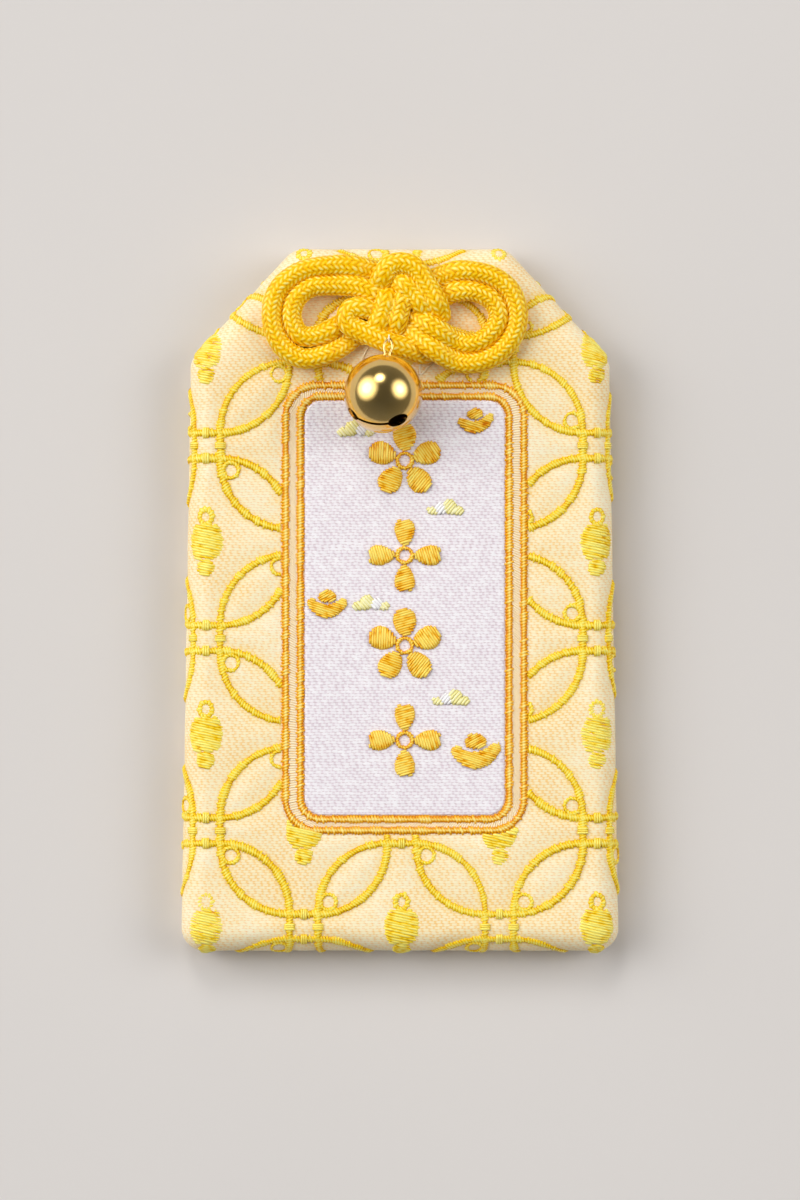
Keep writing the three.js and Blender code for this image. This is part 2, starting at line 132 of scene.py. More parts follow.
def makeStudio():
    scene = bpy.context.scene
    scene.view_settings.view_transform = "Standard"
    lens = bpy.data.cameras.new("camera")
    lens.sensor_fit = "VERTICAL"
    lens.sensor_height = 24
    lens.lens = lens.sensor_height * photo["distance"] / (photo["height"] * photo["pixel"])
    camera = bpy.data.objects.new("camera", lens)
    camera.location = (0, 0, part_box("front_panel")[1].z + photo["distance"] * mm)
    scene.collection.objects.link(camera)
    scene.camera = camera

    world = bpy.data.worlds.new("studioLight")
    world.use_nodes = True
    tree = world.node_tree
    background = tree.nodes["Background"]
    background.inputs["Color"].default_value = linear(studio["worldColour"])
    # a room whose walls are lighter than its ceiling
    direction = addNode(tree, "TexCoord")
    part = addNode(tree, "SeparateXYZ", links={0: direction.outputs["Generated"]})
    fade = {1: 0.0, 2: studio["overhead"], 3: studio["horizon"], 4: studio["zenith"]}
    level = addNode(tree, "MapRange", fade, {0: part.outputs["Z"]})
    linkInto(tree, background, {"Strength": level})
    scene.world = world

    for name, (direction, distance, diameter, watts) in studio["lamps"].items():
        towards = Vector(direction).normalized()
        for k, (width, share) in enumerate(studio["discs"]):
            lamp = bpy.data.lights.new(f"{name}{k + 1}", "AREA")
            lamp.shape = "DISK"
            lamp.size = diameter * width * mm
            lamp.energy = watts * share
            place = bpy.data.objects.new(lamp.name, lamp)
            place.location = towards * (distance - studio["discGap"] * k) * mm  # smaller discs in front
            place.rotation_euler = towards.to_track_quat("Z", "Y").to_euler()
            scene.collection.objects.link(place)

    half = studio["floorSize"] * mm / 2
    mesh = bpy.data.meshes.new("floor")
    corners = [(-half, -half, 0), (half, -half, 0), (half, half, 0), (-half, half, 0)]
    mesh.from_pydata(corners, [], [(0, 1, 2, 3)])
    # Matt card: a pale sheet with hardly a cloud in it, no gloss
    mesh.materials.append(grained("mattCard", {"Roughness": 0.9, "Specular IOR Level": 0.2},
                                  {"Scale": studio["floorGrain"], "Detail": 2.0},
                                  [(0.3, studio["floorColour"]), (0.7, studio["floorCloud"])]))
    floor = bpy.data.objects.new("floor", mesh)
    scene.collection.objects.link(floor)


makeStudio()
print("stage: studio ready")


# Meshes from whole arrays

def nodeBox(name):
    low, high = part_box(name)
    return np.array(low) / mm, np.array(high) / mm


def nodeMiddle(name):
    # the middle of a node's box, and half its size
    low, high = nodeBox(name)
    return (low + high) / 2, (high - low) / 2


def gridFaces(rows, columns, closedRows=False, closedColumns=False):
    i = np.arange(rows if closedRows else rows - 1)[:, None]
    j = np.arange(columns if closedColumns else columns - 1)[None, :]
    nextI, nextJ = (i + 1) % rows, (j + 1) % columns
    corners = [i * columns + j, i * columns + nextJ, nextI * columns + nextJ, nextI * columns + j]
    return np.stack(corners, -1).reshape(-1, 4)


def joinGrids(grids):
    # several (points, faces, marks) in one, with the faces counted on
    sizes = np.array([len(points) for points, _, _ in grids])
    first = np.concatenate([[0], np.cumsum(sizes)[:-1]])
    points = np.concatenate([points for points, _, _ in grids])
    faces = np.concatenate([faces + start for (_, faces, _), start in zip(grids, first)])
    marks = {key: np.concatenate([grid[2][key] for grid in grids]) for key in grids[0][2]}
    return points, faces, marks


def makePiece(name, grid, material, body="pouch", replaced=(), uv=None, normals=None):
    points, faces, marks = grid
    mesh = bpy.data.meshes.new(name)
    mesh.from_pydata((points * mm).tolist(), [], faces.tolist())
    mesh.polygons.foreach_set("use_smooth", np.ones(len(faces), bool))
    if uv is not None:
        layer = mesh.uv_layers.new(name="cloth")
        layer.data.foreach_set("uv", uv[faces.ravel()].astype(np.float32).ravel())
    for key, values in marks.items():
        mark = mesh.attributes.new(key, "FLOAT", "POINT")
        mark.data.foreach_set("value", values.astype(np.float32).ravel())
    if normals is not None:
        mesh.normals_split_custom_set(normals.reshape(-1, 3).tolist())
    mesh.materials.append(material)
    piece = bpy.data.objects.new(name, mesh)
    bpy.context.scene.collection.objects.link(piece)
    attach(piece, body)
    if replaced:
        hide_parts(*replaced)
    return piece


def thicken(piece, thickness, offset):
    wall = piece.modifiers.new("wall", "SOLIDIFY")
    wall.thickness = thickness * mm
    wall.offset = offset


# Steps, curves and tubes

def unit(vectors):
    return vectors / np.linalg.norm(vectors, axis=-1, keepdims=True)


def smoothStep(low, high, value):
    t = np.clip((value - low) / (high - low), 0, 1)
    return t * t * (3 - 2 * t)


def spread(count, share=1.0):
    # places from -1 to 1, brought closer together towards both ends by a share of a sine
    s = np.linspace(-1, 1, count)
    return (1 - share) * s + share * np.sin(np.pi / 2 * s)


def wholeTurn(count):
    return np.linspace(0, 2 * np.pi, count, endpoint=False)


def quarterRound(gap, radius):
    # 0 at an edge, and up a quarter circle to 1
    return np.sqrt(1 - (1 - np.clip(gap / radius, 0, 1)) ** 2)


seedSteps = 12.9898, 78.233  # neither is near a simple fraction, so that neighbours get unlike chances


def chanceAt(seed, steepness=43758.5453):
    # a fixed chance from 0 to 1 for each seed: what a steep sine leaves over the whole number below it
    value = np.sin(seed) * steepness
    return value - np.floor(value)


def lengthAlong(path):
    return np.concatenate([[0], np.cumsum(np.linalg.norm(np.diff(path, axis=0), axis=1))])


def evenly(path, step, closed=False):
    # the same path with points an even step apart along its length
    if closed:
        path = np.vstack([path, path[:1]])
    length = lengthAlong(path)
    count = max(int(round(length[-1] / step)), 4)
    places = np.linspace(0, length[-1], count + 1)
    if closed:
        places = places[:-1]
    return np.stack([np.interp(places, length, column) for column in path.T], -1)


def smoothPath(points, step, perSpan=60):
    # centripetal Catmull-Rom curve: knots at the root of each span, cubic Hermite pieces between them
    points = np.asarray(points, float)
    p = np.vstack([2 * points[0] - points[1], points, 2 * points[-1] - points[-2]])
    span = np.linalg.norm(np.diff(p, axis=0), axis=1) ** 0.5
    knots = np.concatenate([[0], np.cumsum(span)])
    before, after = span[:-1, None], span[1:, None]
    slope = (p[1:-1] - p[:-2]) / before - (p[2:] - p[:-2]) / (before + after) + (p[2:] - p[1:-1]) / after
    t = np.linspace(knots[1], knots[-2], perSpan * len(points))
    k = np.clip(np.searchsorted(knots, t, "right") - 1, 1, len(p) - 3)
    u, h = ((t - knots[k]) / span[k])[:, None], span[k][:, None]
    curve = ((2 * u ** 3 - 3 * u ** 2 + 1) * p[k] + (u ** 3 - 2 * u ** 2 + u) * h * slope[k - 1]
             + (3 * u ** 2 - 2 * u ** 3) * p[k + 1] + (u ** 3 - u ** 2) * h * slope[k])
    return evenly(curve, step)


def roundedEnds(length, radius, least):
    # size along a cord: a quarter circle at each end, closed by a very small ring
    return np.maximum(quarterRound(np.minimum(length, length[-1] - length), radius), least)[:, None]


def carried(path, level, turn, halfWidth, halfThick):
    # an oval carried along a path, its width square to the path and to the level's normal
    ahead = unit(np.gradient(path, axis=0))
    sideways = unit(np.cross(level, ahead))
    up = np.cross(ahead, sideways)
    points = (path[:, None, :] + sideways[:, None, :] * (np.cos(turn) * halfWidth)[..., None]
              + up[:, None, :] * (np.sin(turn) * halfThick)[..., None])
    return points.reshape(-1, 3), gridFaces(len(path), len(turn), closedColumns=True)


def tubeGrid(path, diameter, level, sides=10):
    # a circle carried along a path that bends in one plane
    half = diameter / 2 * roundedEnds(lengthAlong(path), diameter / 2, 0.05)
    return *carried(path, level, wholeTurn(sides), half, half), {}


# Pouch cloth

pouch = {
    "topEdge": 27.4, "shoulder": 53.8, "bottom": 56.2, "shoulderDrop": 14.3, "edgeRound": 3.0,
    "bendSteps": 241, "rows": 210, "columns": 136, "rowSpread": 0.45, "columnSpread": 0.4,
    # the reach at the end of the next line is how far the painted shade and yellow thread spread go beside a
    # stitched line
    "puff": 0.2, "puffReach": 1.5, "wrinkle": 0.05, "waves": (0.31, 0.23, 0.17), "lineShadeAndSpreadReach": 0.75,
    "calm": (-0.5, 2.0), "seamCalm": (0, 2.5),  # no swelling up to here, all of it from there
    "seamPinch": 0.3, "seamWidth": 0.55, "lipReach": 0.3, "wall": 0.6, "backWall": 0.34,
    "backRecess": 0.46, "recess": (-0.3, 1.9),  # all of it up to here past the flat, none from there
    "mouthFull": 11.0, "mouthEnd": 12.3, "mouthHeight": 1.8,  # open up to, and closed from, this far aside
}
centre = {"radius": 4.4, "line": 0.83, "bandEnd": 0.55}  # corner and lines of the bordered field
lattice = {
    "originX": 0.2, "originY": 19.72, "pitchX": 12.48, "pitchY": 12.29, "across": (-4, 5), "down": (-4, 8),
    "half": 10.66, "radius": 8.8, "edgeRoom": 0.45, "borderRoom": 0.1,
    "topSettle": 3.0, "settle": (33.0, 44.0),  # near the top edge the pattern sits lower
    "line": {"width": 1.26, "height": 0.3, "pitch": 0.36, "slant": 0.46, "columns": 7, "step": 0.075},
    "backLine": {"width": 1.26, "height": 0.3, "pitch": 0.44, "slant": 0.46, "columns": 6, "step": 0.1},
    "ringRadius": 1.0, "ringAway": 3.15,
    "ringLine": {"width": 0.74, "height": 0.3, "pitch": 0.42, "slant": 0.5, "columns": 6, "step": 0.09},
    "beadLength": 1.45, "beadPitch": 0.27,
    "bead": {"width": 0.34, "height": 0.2, "pad": 0.28, "steps": 6, "dents": 0},
}
frontFace, pouchTop = nodeBox("front_panel")[1][[2, 1]]
seamHeight = frontFace / 2
centrePlace, centreHalf = [size[:2] for size in nodeMiddle("border_outer")]


def flatCorners():
    # the pouch's hexagon, each corner moved in along its bisector by the rounding over the cosine of half
    # its turn
    widths = np.array([pouch["topEdge"], pouch["shoulder"], pouch["bottom"]])
    right = np.stack([widths / 2, [pouchTop, pouchTop - pouch["shoulderDrop"], -pouchTop]], -1)
    outline = np.concatenate([right[:1], right * [-1, 1], right[:0:-1]])
    arriving = unit(outline - np.roll(outline, 1, axis=0))
    leaving = unit(np.roll(outline, -1, axis=0) - outline)
    cosHalf = np.sqrt((1 + (arriving * leaving).sum(1, keepdims=True)) / 2)
    return outline + unit(leaving - arriving) * pouch["edgeRound"] / cosHalf


flatFace = flatCorners()
bendAngle = np.linspace(0, np.pi / 2, pouch["bendSteps"])
bendStep = np.hypot(pouch["edgeRound"] * np.cos(bendAngle), seamHeight * np.sin(bendAngle))
bendArc = np.concatenate([[0], np.cumsum((bendStep[1:] + bendStep[:-1]) / 2 * np.diff(bendAngle))])
wrapReach = bendArc[-1]
mouthLip = wrapReach - np.interp(np.arccos(pouch["mouthHeight"] / 2 / seamHeight), bendAngle, bendArc)


def mouthGape(x):
    return 1 - smoothStep(pouch["mouthFull"], pouch["mouthEnd"], np.abs(x))


def fromFlatFace(flat):
    # distance to the nearest of the six edges, minus where the point is on the inner side of all of them
    distance = np.full(flat.shape[:-1], np.inf)
    nearest = np.zeros_like(flat)
    inside = np.ones(flat.shape[:-1], bool)
    for start, end in zip(flatFace, np.roll(flatFace, -1, axis=0)):
        edge = end - start
        share = np.clip(((flat - start) @ edge) / (edge @ edge), 0, 1)
        foot = start + share[..., None] * edge
        gap = np.linalg.norm(flat - foot, axis=-1)
        nearest = np.where((gap < distance)[..., None], foot, nearest)
        distance = np.minimum(gap, distance)
        inside &= edge[0] * (flat[..., 1] - start[1]) - edge[1] * (flat[..., 0] - start[0]) >= 0
    return np.where(inside, -distance, distance), nearest


def layOnPouch(flat, lift, side=1):
    # unrolled cloth to space: flat on the face, then round a quarter ellipse by the way past the edge
    distance, nearest = fromFlatFace(flat)
    past = (distance > 0)[..., None]
    bend = np.interp(np.maximum(distance, 0), bendArc, bendAngle)[..., None]
    away = np.where(past, (flat - nearest) / np.maximum(distance, 1e-9)[..., None], 0)
    plan = np.where(past, nearest, flat) + away * pouch["edgeRound"] * np.sin(bend)
    height = seamHeight + side * seamHeight * np.cos(bend)
    if side < 0:  # the back's flat part is let in, so that its stitching lies level with what it rests on
        lift = lift - pouch["backRecess"] * (1 - smoothStep(*pouch["recess"], distance))
    normal = [away * seamHeight * np.sin(bend), side * pouch["edgeRound"] * np.cos(bend)]
    lift = np.broadcast_to(lift, distance.shape)[..., None]
    return (np.concatenate([plan, height], -1) + unit(np.concatenate(normal, -1)) * lift).reshape(-1, 3)


def roundedGap(flat, halfWidth, halfLength, radius):
    # signed distance to a rectangle with rounded corners about the origin
    q = np.abs(flat) - np.array([halfWidth - radius, halfLength - radius])
    return np.linalg.norm(np.maximum(q, 0), axis=-1) + np.minimum(q.max(-1), 0) - radius


def fromBorder(flat):
    return roundedGap(flat - centrePlace, *centreHalf, centre["radius"])


def latticePlace(i, j):
    x, y = lattice["originX"] + lattice["pitchX"] * i, lattice["originY"] - lattice["pitchY"] * j
    return np.stack([x, y], -1)


def settled(flat, way=-1):
    # the front's pattern slides down towards its top edge, and back up again with way 1
    slide = lattice["topSettle"] * smoothStep(*lattice["settle"], flat[..., 1])
    return flat + way * slide[..., None] * np.array([0, 1])


def latticeGap(flat):
    # distance to the nearest lattice line: the least over the rounded squares about the near lantern places
    column = np.round((flat[..., 0] - lattice["originX"]) / lattice["pitchX"])
    row = np.round((lattice["originY"] - flat[..., 1]) / lattice["pitchY"])
    square = lattice["half"], lattice["half"], lattice["radius"]
    gap = np.full(flat.shape[:-1], np.inf)
    for di in (-1, 0, 1):
        for dj in (-1, 0, 1):
            i, j = column + di, row + dj
            line = np.abs(roundedGap(flat - latticePlace(i, j), *square))
            gap = np.where((i + j) % 2 == 1, np.minimum(gap, line), gap)
    return gap


def halfWidthAt(y, reach, widest=60.0, rounds=40):
    # widest x on each row that lies no further than reach past the flat face, found by halving
    low, high = np.zeros_like(y), np.full_like(y, widest)
    for _ in range(rounds):
        middle = (low + high) / 2
        fits = fromFlatFace(np.stack([middle, y], -1))[0] <= reach + 1e-6
        low, high = np.where(fits, middle, low), np.where(fits, high, middle)
    return low


def rowsAcross(y, halfWidth, places):
    # flat points in rows at each y, every row as wide as the shape is there
    x = halfWidth[:, None] * places
    return np.stack([x, np.broadcast_to(y[:, None], x.shape)], -1)


def clothGrid(side):
    # rows of the unrolled cloth from seam to seam, closer together towards the edges
    flatTop = pouchTop - pouch["edgeRound"]
    y = (flatTop + wrapReach) * spread(pouch["rows"], pouch["rowSpread"]) * (1 - 1e-7)
    flat = rowsAcross(y, halfWidthAt(y, wrapReach), spread(pouch["columns"], pouch["columnSpread"]))
    # the mouth: at the top edge the cloth ends short of the seam
    gape = mouthGape(flat[-1, :, 0])
    climb = np.clip((flat[..., 1] - flatTop) / wrapReach, 0, 1)
    flat[..., 1] -= mouthLip * gape * climb
    # the cloth swells between the stitched lines, in long shallow waves, and is drawn in at the seam
    gap = latticeGap(settled(flat, 1) if side > 0 else flat)
    swell = pouch["puff"] * (1 - np.exp(-(gap / pouch["puffReach"]) ** 2))
    across, along, aslant = pouch["waves"]
    waves = np.sin(across * flat[..., 0] + 1.1) * np.sin(along * flat[..., 1] + 0.4)
    waves = waves + np.sin(aslant * flat.sum(-1))
    calm = smoothStep(*pouch["calm"], fromBorder(flat)) if side > 0 else 1
    swell = (swell + pouch["wrinkle"] * waves) * calm
    toSeam = wrapReach - fromFlatFace(flat)[0]
    pinch = pouch["seamPinch"] * np.exp(-(toSeam / pouch["seamWidth"]) ** 2)
    pinch = pinch * (1 - gape * smoothStep(0, pouch["lipReach"], climb))
    lift = swell * smoothStep(*pouch["seamCalm"], toSeam) - pinch
    # painted shade and yellow thread spread: the cloth's colour darkens and yellows near each stitched line
    lineShadeAndSpread = np.exp(-(gap / pouch["lineShadeAndSpreadReach"]) ** 2)
    faces = gridFaces(*flat.shape[:2])[:, ::side]
    return (layOnPouch(flat, lift, side), faces, {"lineShadeAndSpread": lineShadeAndSpread.ravel()}), flat


tatami = {
    "step": 0.382, "stray": 0.3,  # shares of a stitch by which a row moves on, and by chance
    "rowEdge": 0.48, "dashEnd": 0.35,  # where the dent is deepest, across the row and along the dash
    "crown": 0.75,  # how far a crest goes towards the pale tint, a painted highlight
}


def fillStitch(name, look):
    # Tatami fill on a UV in millimetres: rows of short stitches, each row moved on by a fixed step and a
    # little chance. dent is 1 in the short gap at a stitch's end, crest is high along its middle, and the
    # height is crest less dent.
    # the dent at each stitch's end takes a painted shade, and the crest a pale painted highlight
    material, tree, shader = startMaterial(name, look["finish"])
    uv = addNode(tree, "UVMap", {"uv_map": "cloth"})
    noises = [addNode(tree, "TexNoise", {"noise_dimensions": "2D", "Scale": look[key], "Detail": 3.0},
                      {"Vector": uv}) for key in ("driftScale", "cloudScale")]
    bent = addNode(tree, "VectorMath", {"operation": "MULTIPLY_ADD", 1: (look["drift"],) * 3},
                   {0: noises[0].outputs["Color"], 2: uv})
    place = addNode(tree, "SeparateXYZ", links={0: bent})
    row = addNode(tree, "Math", {"operation": "DIVIDE", 1: look["rowPitch"]}, {0: place.outputs["Y"]})
    count = addNode(tree, "Math", {"operation": "FLOOR"}, {0: row})
    stray = addNode(tree, "TexWhiteNoise", {"noise_dimensions": "1D"}, {"W": count})
    steps = addNode(tree, "Math", {"operation": "MULTIPLY", 1: tatami["step"]}, {0: count})
    shift = addNode(tree, "Math", {"operation": "MULTIPLY_ADD", 1: tatami["stray"]}, {0: stray, 2: steps})
    along = addNode(tree, "Math", {"operation": "MULTIPLY_ADD", 1: 1 / look["stitch"]},
                    {0: place.outputs["X"], 2: shift})
    # each stitch has a dye of its own
    cell = addNode(tree, "Math", {"operation": "FLOOR"}, {0: along})
    spot = addNode(tree, "CombineXYZ", links={"X": cell, "Y": count})
    chance = addNode(tree, "TexWhiteNoise", {"noise_dimensions": "2D"}, {"Vector": spot})
    dye = addNode(tree, "Math", {"operation": "MULTIPLY_ADD", 1: look["uneven"]}, {0: chance, 2: noises[1]})
    # near the edge of the row, and near the end of the stitch
    ranges = (look["edge"], tatami["rowEdge"]), (0.5 - look["dash"], 0.5 - tatami["dashEnd"] * look["dash"])
    near = []
    for way, (start, end) in zip((row, along), ranges):
        share = addNode(tree, "Math", {"operation": "FRACT"}, {0: way})
        off = addNode(tree, "Math", {"operation": "SUBTRACT", 1: 0.5}, {0: share})
        far = addNode(tree, "Math", {"operation": "ABSOLUTE"}, {0: off})
        limits = {"interpolation_type": "SMOOTHSTEP", 1: start, 2: end}
        near.append(addNode(tree, "MapRange", limits, {0: far}))
    shadedDent = addNode(tree, "Math", {"operation": "MULTIPLY"}, {0: near[0], 1: near[1]})
    crown = {"operation": "MULTIPLY_ADD", 1: -tatami["crown"], 2: tatami["crown"], "use_clamp": True}
    ridge = addNode(tree, "Math", crown, {0: near[0]})
    middle = addNode(tree, "Math", {"operation": "SUBTRACT", 0: 1.0}, {1: near[1]})
    crest = addNode(tree, "Math", {"operation": "MULTIPLY"}, {0: ridge, 1: middle})
    height = addNode(tree, "Math", {"operation": "SUBTRACT"}, {0: crest, 1: shadedDent})
    relief = {"Strength": look["bump"], "Distance": look["relief"] * mm}
    bump = addNode(tree, "Bump", relief, {"Height": height})
    # painted highlight: each crest is tinted pale; painted shade: each dent is tinted dark
    tints = [(crest, look["pale"]), (shadedDent, look["shadedDent"])]
    # painted shade and yellow thread spread beside the stitched lines, from the cloth's mark
    if "lineShadeAndSpread" in look:
        lineShadeAndSpread = addNode(tree, "Attribute", {"attribute_name": "lineShadeAndSpread"})
        shade = addNode(tree, "Math", {"operation": "MULTIPLY", 1: look["lineShadeAndSpreadShare"]},
                        {0: lineShadeAndSpread.outputs["Fac"]})
        tints.append((shade, look["lineShadeAndSpread"]))
    colour = addNode(tree, "ValToRGB", {"stops": look["stops"]}, {0: dye})
    for share, tint in tints:
        mixed = addNode(tree, "Mix", {"data_type": "RGBA", 7: linear(tint)}, {0: share, 6: colour})
        colour = mixed.outputs[2]
    linkInto(tree, shader, {"Base Color": colour, "Normal": bump})
    return material


# Polyester thread in tatami fill: cream rows, softly glossy; painted highlight on the crests, warm painted
# shade in the needle dents
ground = {
    "rowPitch": 0.34, "stitch": 0.9, "dash": 0.26, "edge": 0.28, "drift": 0.3, "driftScale": 0.6,
    "bump": 0.2, "relief": 0.1, "cloudScale": 0.09, "uneven": 0.32,
    "stops": [(0.38, "#FCD68C"), (0.66, "#FFE5AC"), (0.95, "#FFF3D0")],
    # the third tint is painted shade with yellow thread spread beside the stitched lines
    "pale": "#FFF3D0", "shadedDent": "#F5BC72", "lineShadeAndSpread": "#F8D25C", "lineShadeAndSpreadShare": 0.45,
    "finish": {"Roughness": 0.6, "Specular IOR Level": 0.35, "Sheen Weight": 0.12, "Sheen Roughness": 0.5},
}


def makeCloth():
    material = fillStitch("creamPolyesterFillStitch", ground)
    for name, side, node in (("frontCloth", 1, "front_panel"), ("backCloth", -1, "back_panel")):
        grid, flat = clothGrid(side)
        piece = makePiece(name, grid, material, replaced=[node], uv=flat.reshape(-1, 2))
        thicken(piece, pouch["wall"] if side > 0 else pouch["backWall"], -1)


makeCloth()
print("stage: cloth laid")


# Stitched lines and satin threads

stitch = {
    "sink": 0.03,  # how deep thread lies in the cloth
    "lineEnd": 0.35, "highlightStreakReach": 0.3, "highlightStreak": 0.52,  # an open line's end, its crown's pale streak, a painted highlight
    "satinColumns": 5, "longThread": 1.6, "catchReach": 0.28, "catchDepth": 0.07,
}


def alongPath(path, closed=False):
    # running length and left-hand direction at each point of a flat path
    ahead = np.roll(path, -1, axis=0) - np.roll(path, 1, axis=0) if closed else np.gradient(path, axis=0)
    ahead = unit(ahead)
    return lengthAlong(path), np.stack([-ahead[:, 1], ahead[:, 0]], -1)


def stitchedLine(path, look, closed=False, side=1, base=-stitch["sink"]):
    # Half an ellipse carried along the path, with slanted ridges: lift is height times the root of
    # one less the square of the way across, times a ridge that is the size of a cosine of the length
    length, left = alongPath(path, closed)
    pitch = look["pitch"]
    if closed:
        pitch = length[-1] / round(length[-1] / pitch)
    across = np.linspace(1, -1, look["columns"])
    phase = length[:, None] / pitch + look["slant"] * across
    ridge = np.abs(np.cos(np.pi * phase)) ** 0.7
    # some stitches reach further out
    chance = chanceAt(seedSteps[0] * np.floor(phase + 0.5) + path[0].sum())
    arch = np.sqrt(1 - across ** 2)
    toEnd = np.inf if closed else np.minimum(length, length[-1] - length)[:, None]
    ends = np.sqrt(np.clip(toEnd / stitch["lineEnd"], 0, 1))
    half = look["width"] / 2 * (0.6 + 0.44 * ridge * (0.2 + 1.2 * chance))
    flat = path[:, None, :] + left[:, None, :] * (across * half)[..., None]
    lift = look["height"] * arch * (0.74 + 0.26 * ridge) * ends
    points = layOnPouch(flat, base + lift, side)
    faces = gridFaces(len(path), look["columns"], closedRows=closed)
    crown = np.exp(-(across / stitch["highlightStreakReach"]) ** 2)  # a painted highlight runs along the crown as a pale streak
    highlightStreak = look.get("highlightStreak", stitch["highlightStreak"])
    # painted shade at the flanks and in the valleys between stitches, painted highlight along the crown;
    # chance adds a random tone
    thread = 0.08 * arch + highlightStreak * crown * (0.54 + 0.46 * ridge) + (0.92 - highlightStreak) * ridge ** 2
    thread = thread + 0.34 * (chance - 0.5)
    return points, faces[:, ::side], {"thread": thread.ravel()}


def keptRuns(keep):
    # first and last index of each unbroken stretch of True
    edge = np.diff(np.concatenate([[0], keep.astype(int), [0]]))
    return zip(np.flatnonzero(edge == 1), np.flatnonzero(edge == -1))


def clippedLine(path, look, keep, side, leastPoints=8):
    # a closed path, stitched only where it is kept
    kept = keep(path)
    if kept.all():
        return [stitchedLine(path, look, True, side)]
    start = np.flatnonzero(~kept)[0]
    path, kept = np.roll(path, -start, axis=0), np.roll(kept, -start)
    return [stitchedLine(path[a:b], look, False, side) for a, b in keptRuns(kept) if b - a > leastPoints]


def roundedRectangle(width, length, radius, step):
    # four quarter circles joined by straight sides
    turn = np.linspace(0, np.pi / 2, 25)
    corners = [(1, 1), (-1, 1), (-1, -1), (1, -1)]
    arcs = [np.stack([sx * (width / 2 - radius) + radius * np.cos(turn + k * np.pi / 2),
                      sy * (length / 2 - radius) + radius * np.sin(turn + k * np.pi / 2)], -1)
            for k, (sx, sy) in enumerate(corners)]
    return evenly(np.concatenate(arcs), step, closed=True)


def oval(x, y, halfWidth, halfHeight, step=None):
    turn = wholeTurn(40)
    path = np.stack([x + halfWidth * np.cos(turn), y + halfHeight * np.sin(turn)], -1)
    return evenly(path, step, closed=True) if step else path


def turned(points, angle):
    c, s = np.cos(angle), np.sin(angle)
    return points @ np.array([[c, s], [-s, c]])


def satinRows(outline, angle, look, seed):
    # parallel threads across an outline, from each edge that a row crosses to the next
    dice = np.random.default_rng(seed)
    pitch, ragged = look["pitch"], look["ragged"]
    shape = turned(outline, -angle)
    after = np.roll(shape, -1, axis=0)
    starts, ends = [], []
    for level in np.arange(shape[:, 1].min() + pitch / 2, shape[:, 1].max(), pitch):
        hit = (shape[:, 1] > level) != (after[:, 1] > level)
        share = (level - shape[hit, 1]) / (after[hit, 1] - shape[hit, 1])
        places = np.sort(shape[hit, 0] + share * (after[hit, 0] - shape[hit, 0]))
        starts += [(a, level) for a in places[0::2]]
        ends += [(b, level) for b in places[1::2]]
    starts, ends = np.array(starts), np.array(ends)
    starts[:, 0] -= ragged * dice.random(len(starts))
    ends[:, 0] += ragged * dice.random(len(ends))
    starts[:, 1] += 0.4 * ragged * (dice.random(len(starts)) - 0.5)
    ends[:, 1] += 0.4 * ragged * (dice.random(len(ends)) - 0.5)
    return turned(starts, angle), turned(ends, angle)


def satinThreads(rows, look, side=1, base=0.0):
    # each thread is a thin strip that rises over its padding and dives into the cloth at both ends
    starts, ends = rows
    columns = stitch["satinColumns"]
    t = ((1 - np.cos(np.pi * np.linspace(0, 1, look["steps"]))) / 2)[None, :, None]  # closer at the ends
    across = np.linspace(1, -1, columns)[None, None, :]
    run = ends - starts
    length = np.linalg.norm(run, axis=1, keepdims=True)
    ahead = run / np.maximum(length, 1e-6)
    left = np.stack([-ahead[:, 1], ahead[:, 0]], -1)
    dive = np.clip(np.sin(np.pi * t), 0, 1) ** 0.22
    half = look["width"] / 2 * (0.55 + 0.45 * dive)
    flat = (starts[:, None, None, :] + run[:, None, None, :] * t[..., None]
            + left[:, None, None, :] * (across * half)[..., None])
    length = length[..., None]
    pad = look["pad"] * np.minimum(length / stitch["longThread"], 1) * (1 - (2 * t - 1) ** 8)
    arch = np.sqrt(1 - across ** 2)
    # long threads are caught down by the needle at places of their own
    chance = chanceAt(seedSteps[0] * starts[:, 0] + seedSteps[1] * starts[:, 1])[:, None, None]
    shadedDent = np.zeros_like(pad)
    for k in range(look["dents"]):
        spot = 0.5 + 0.36 * np.sin(6.3 * chance + 2.4 * k)
        caught = np.exp(-((t - spot) * length / stitch["catchReach"]) ** 2)
        shadedDent = shadedDent + caught * (length > stitch["longThread"])
    lift = base - stitch["sink"] + pad - stitch["catchDepth"] * shadedDent + look["height"] * arch * dive
    points = layOnPouch(flat, lift, side)
    strip = gridFaces(look["steps"], columns)
    faces = (strip[None] + np.arange(len(starts))[:, None, None] * look["steps"] * columns).reshape(-1, 4)
    shade = 0.45 * (chance - 0.45) - 0.45 * shadedDent  # a random tone per thread, and painted shade in the needle's catch dents
    crown = 0.2 + 0.8 * np.clip(2.2 * arch - 1.2, 0, 1)  # painted shade where threads meet, painted highlight on each thread's crown
    # painted shade towards both ends, where each thread dives into the cloth
    thread = crown * (0.4 + 0.6 * dive) + np.broadcast_to(shade, flat.shape[:-1])
    return points, faces[:, ::side], {"thread": thread.ravel()}


# Rayon embroidery thread: a bright twisted filament; its ramp paints a pale highlight on the crown and deep
# shade where rows meet
def rayonThread(name, *stops):
    finish = {"Roughness": 0.26, "Specular IOR Level": 0.6, "Specular Tint": linear("#FFF0B4")}
    blotches = {"Scale": 1 / (0.7 * mm), "Detail": 2.0}  # uneven dye and twist, about 0.7 mm wide
    return grained(name, finish, blotches, stops, attribute="thread", uneven=0.32)


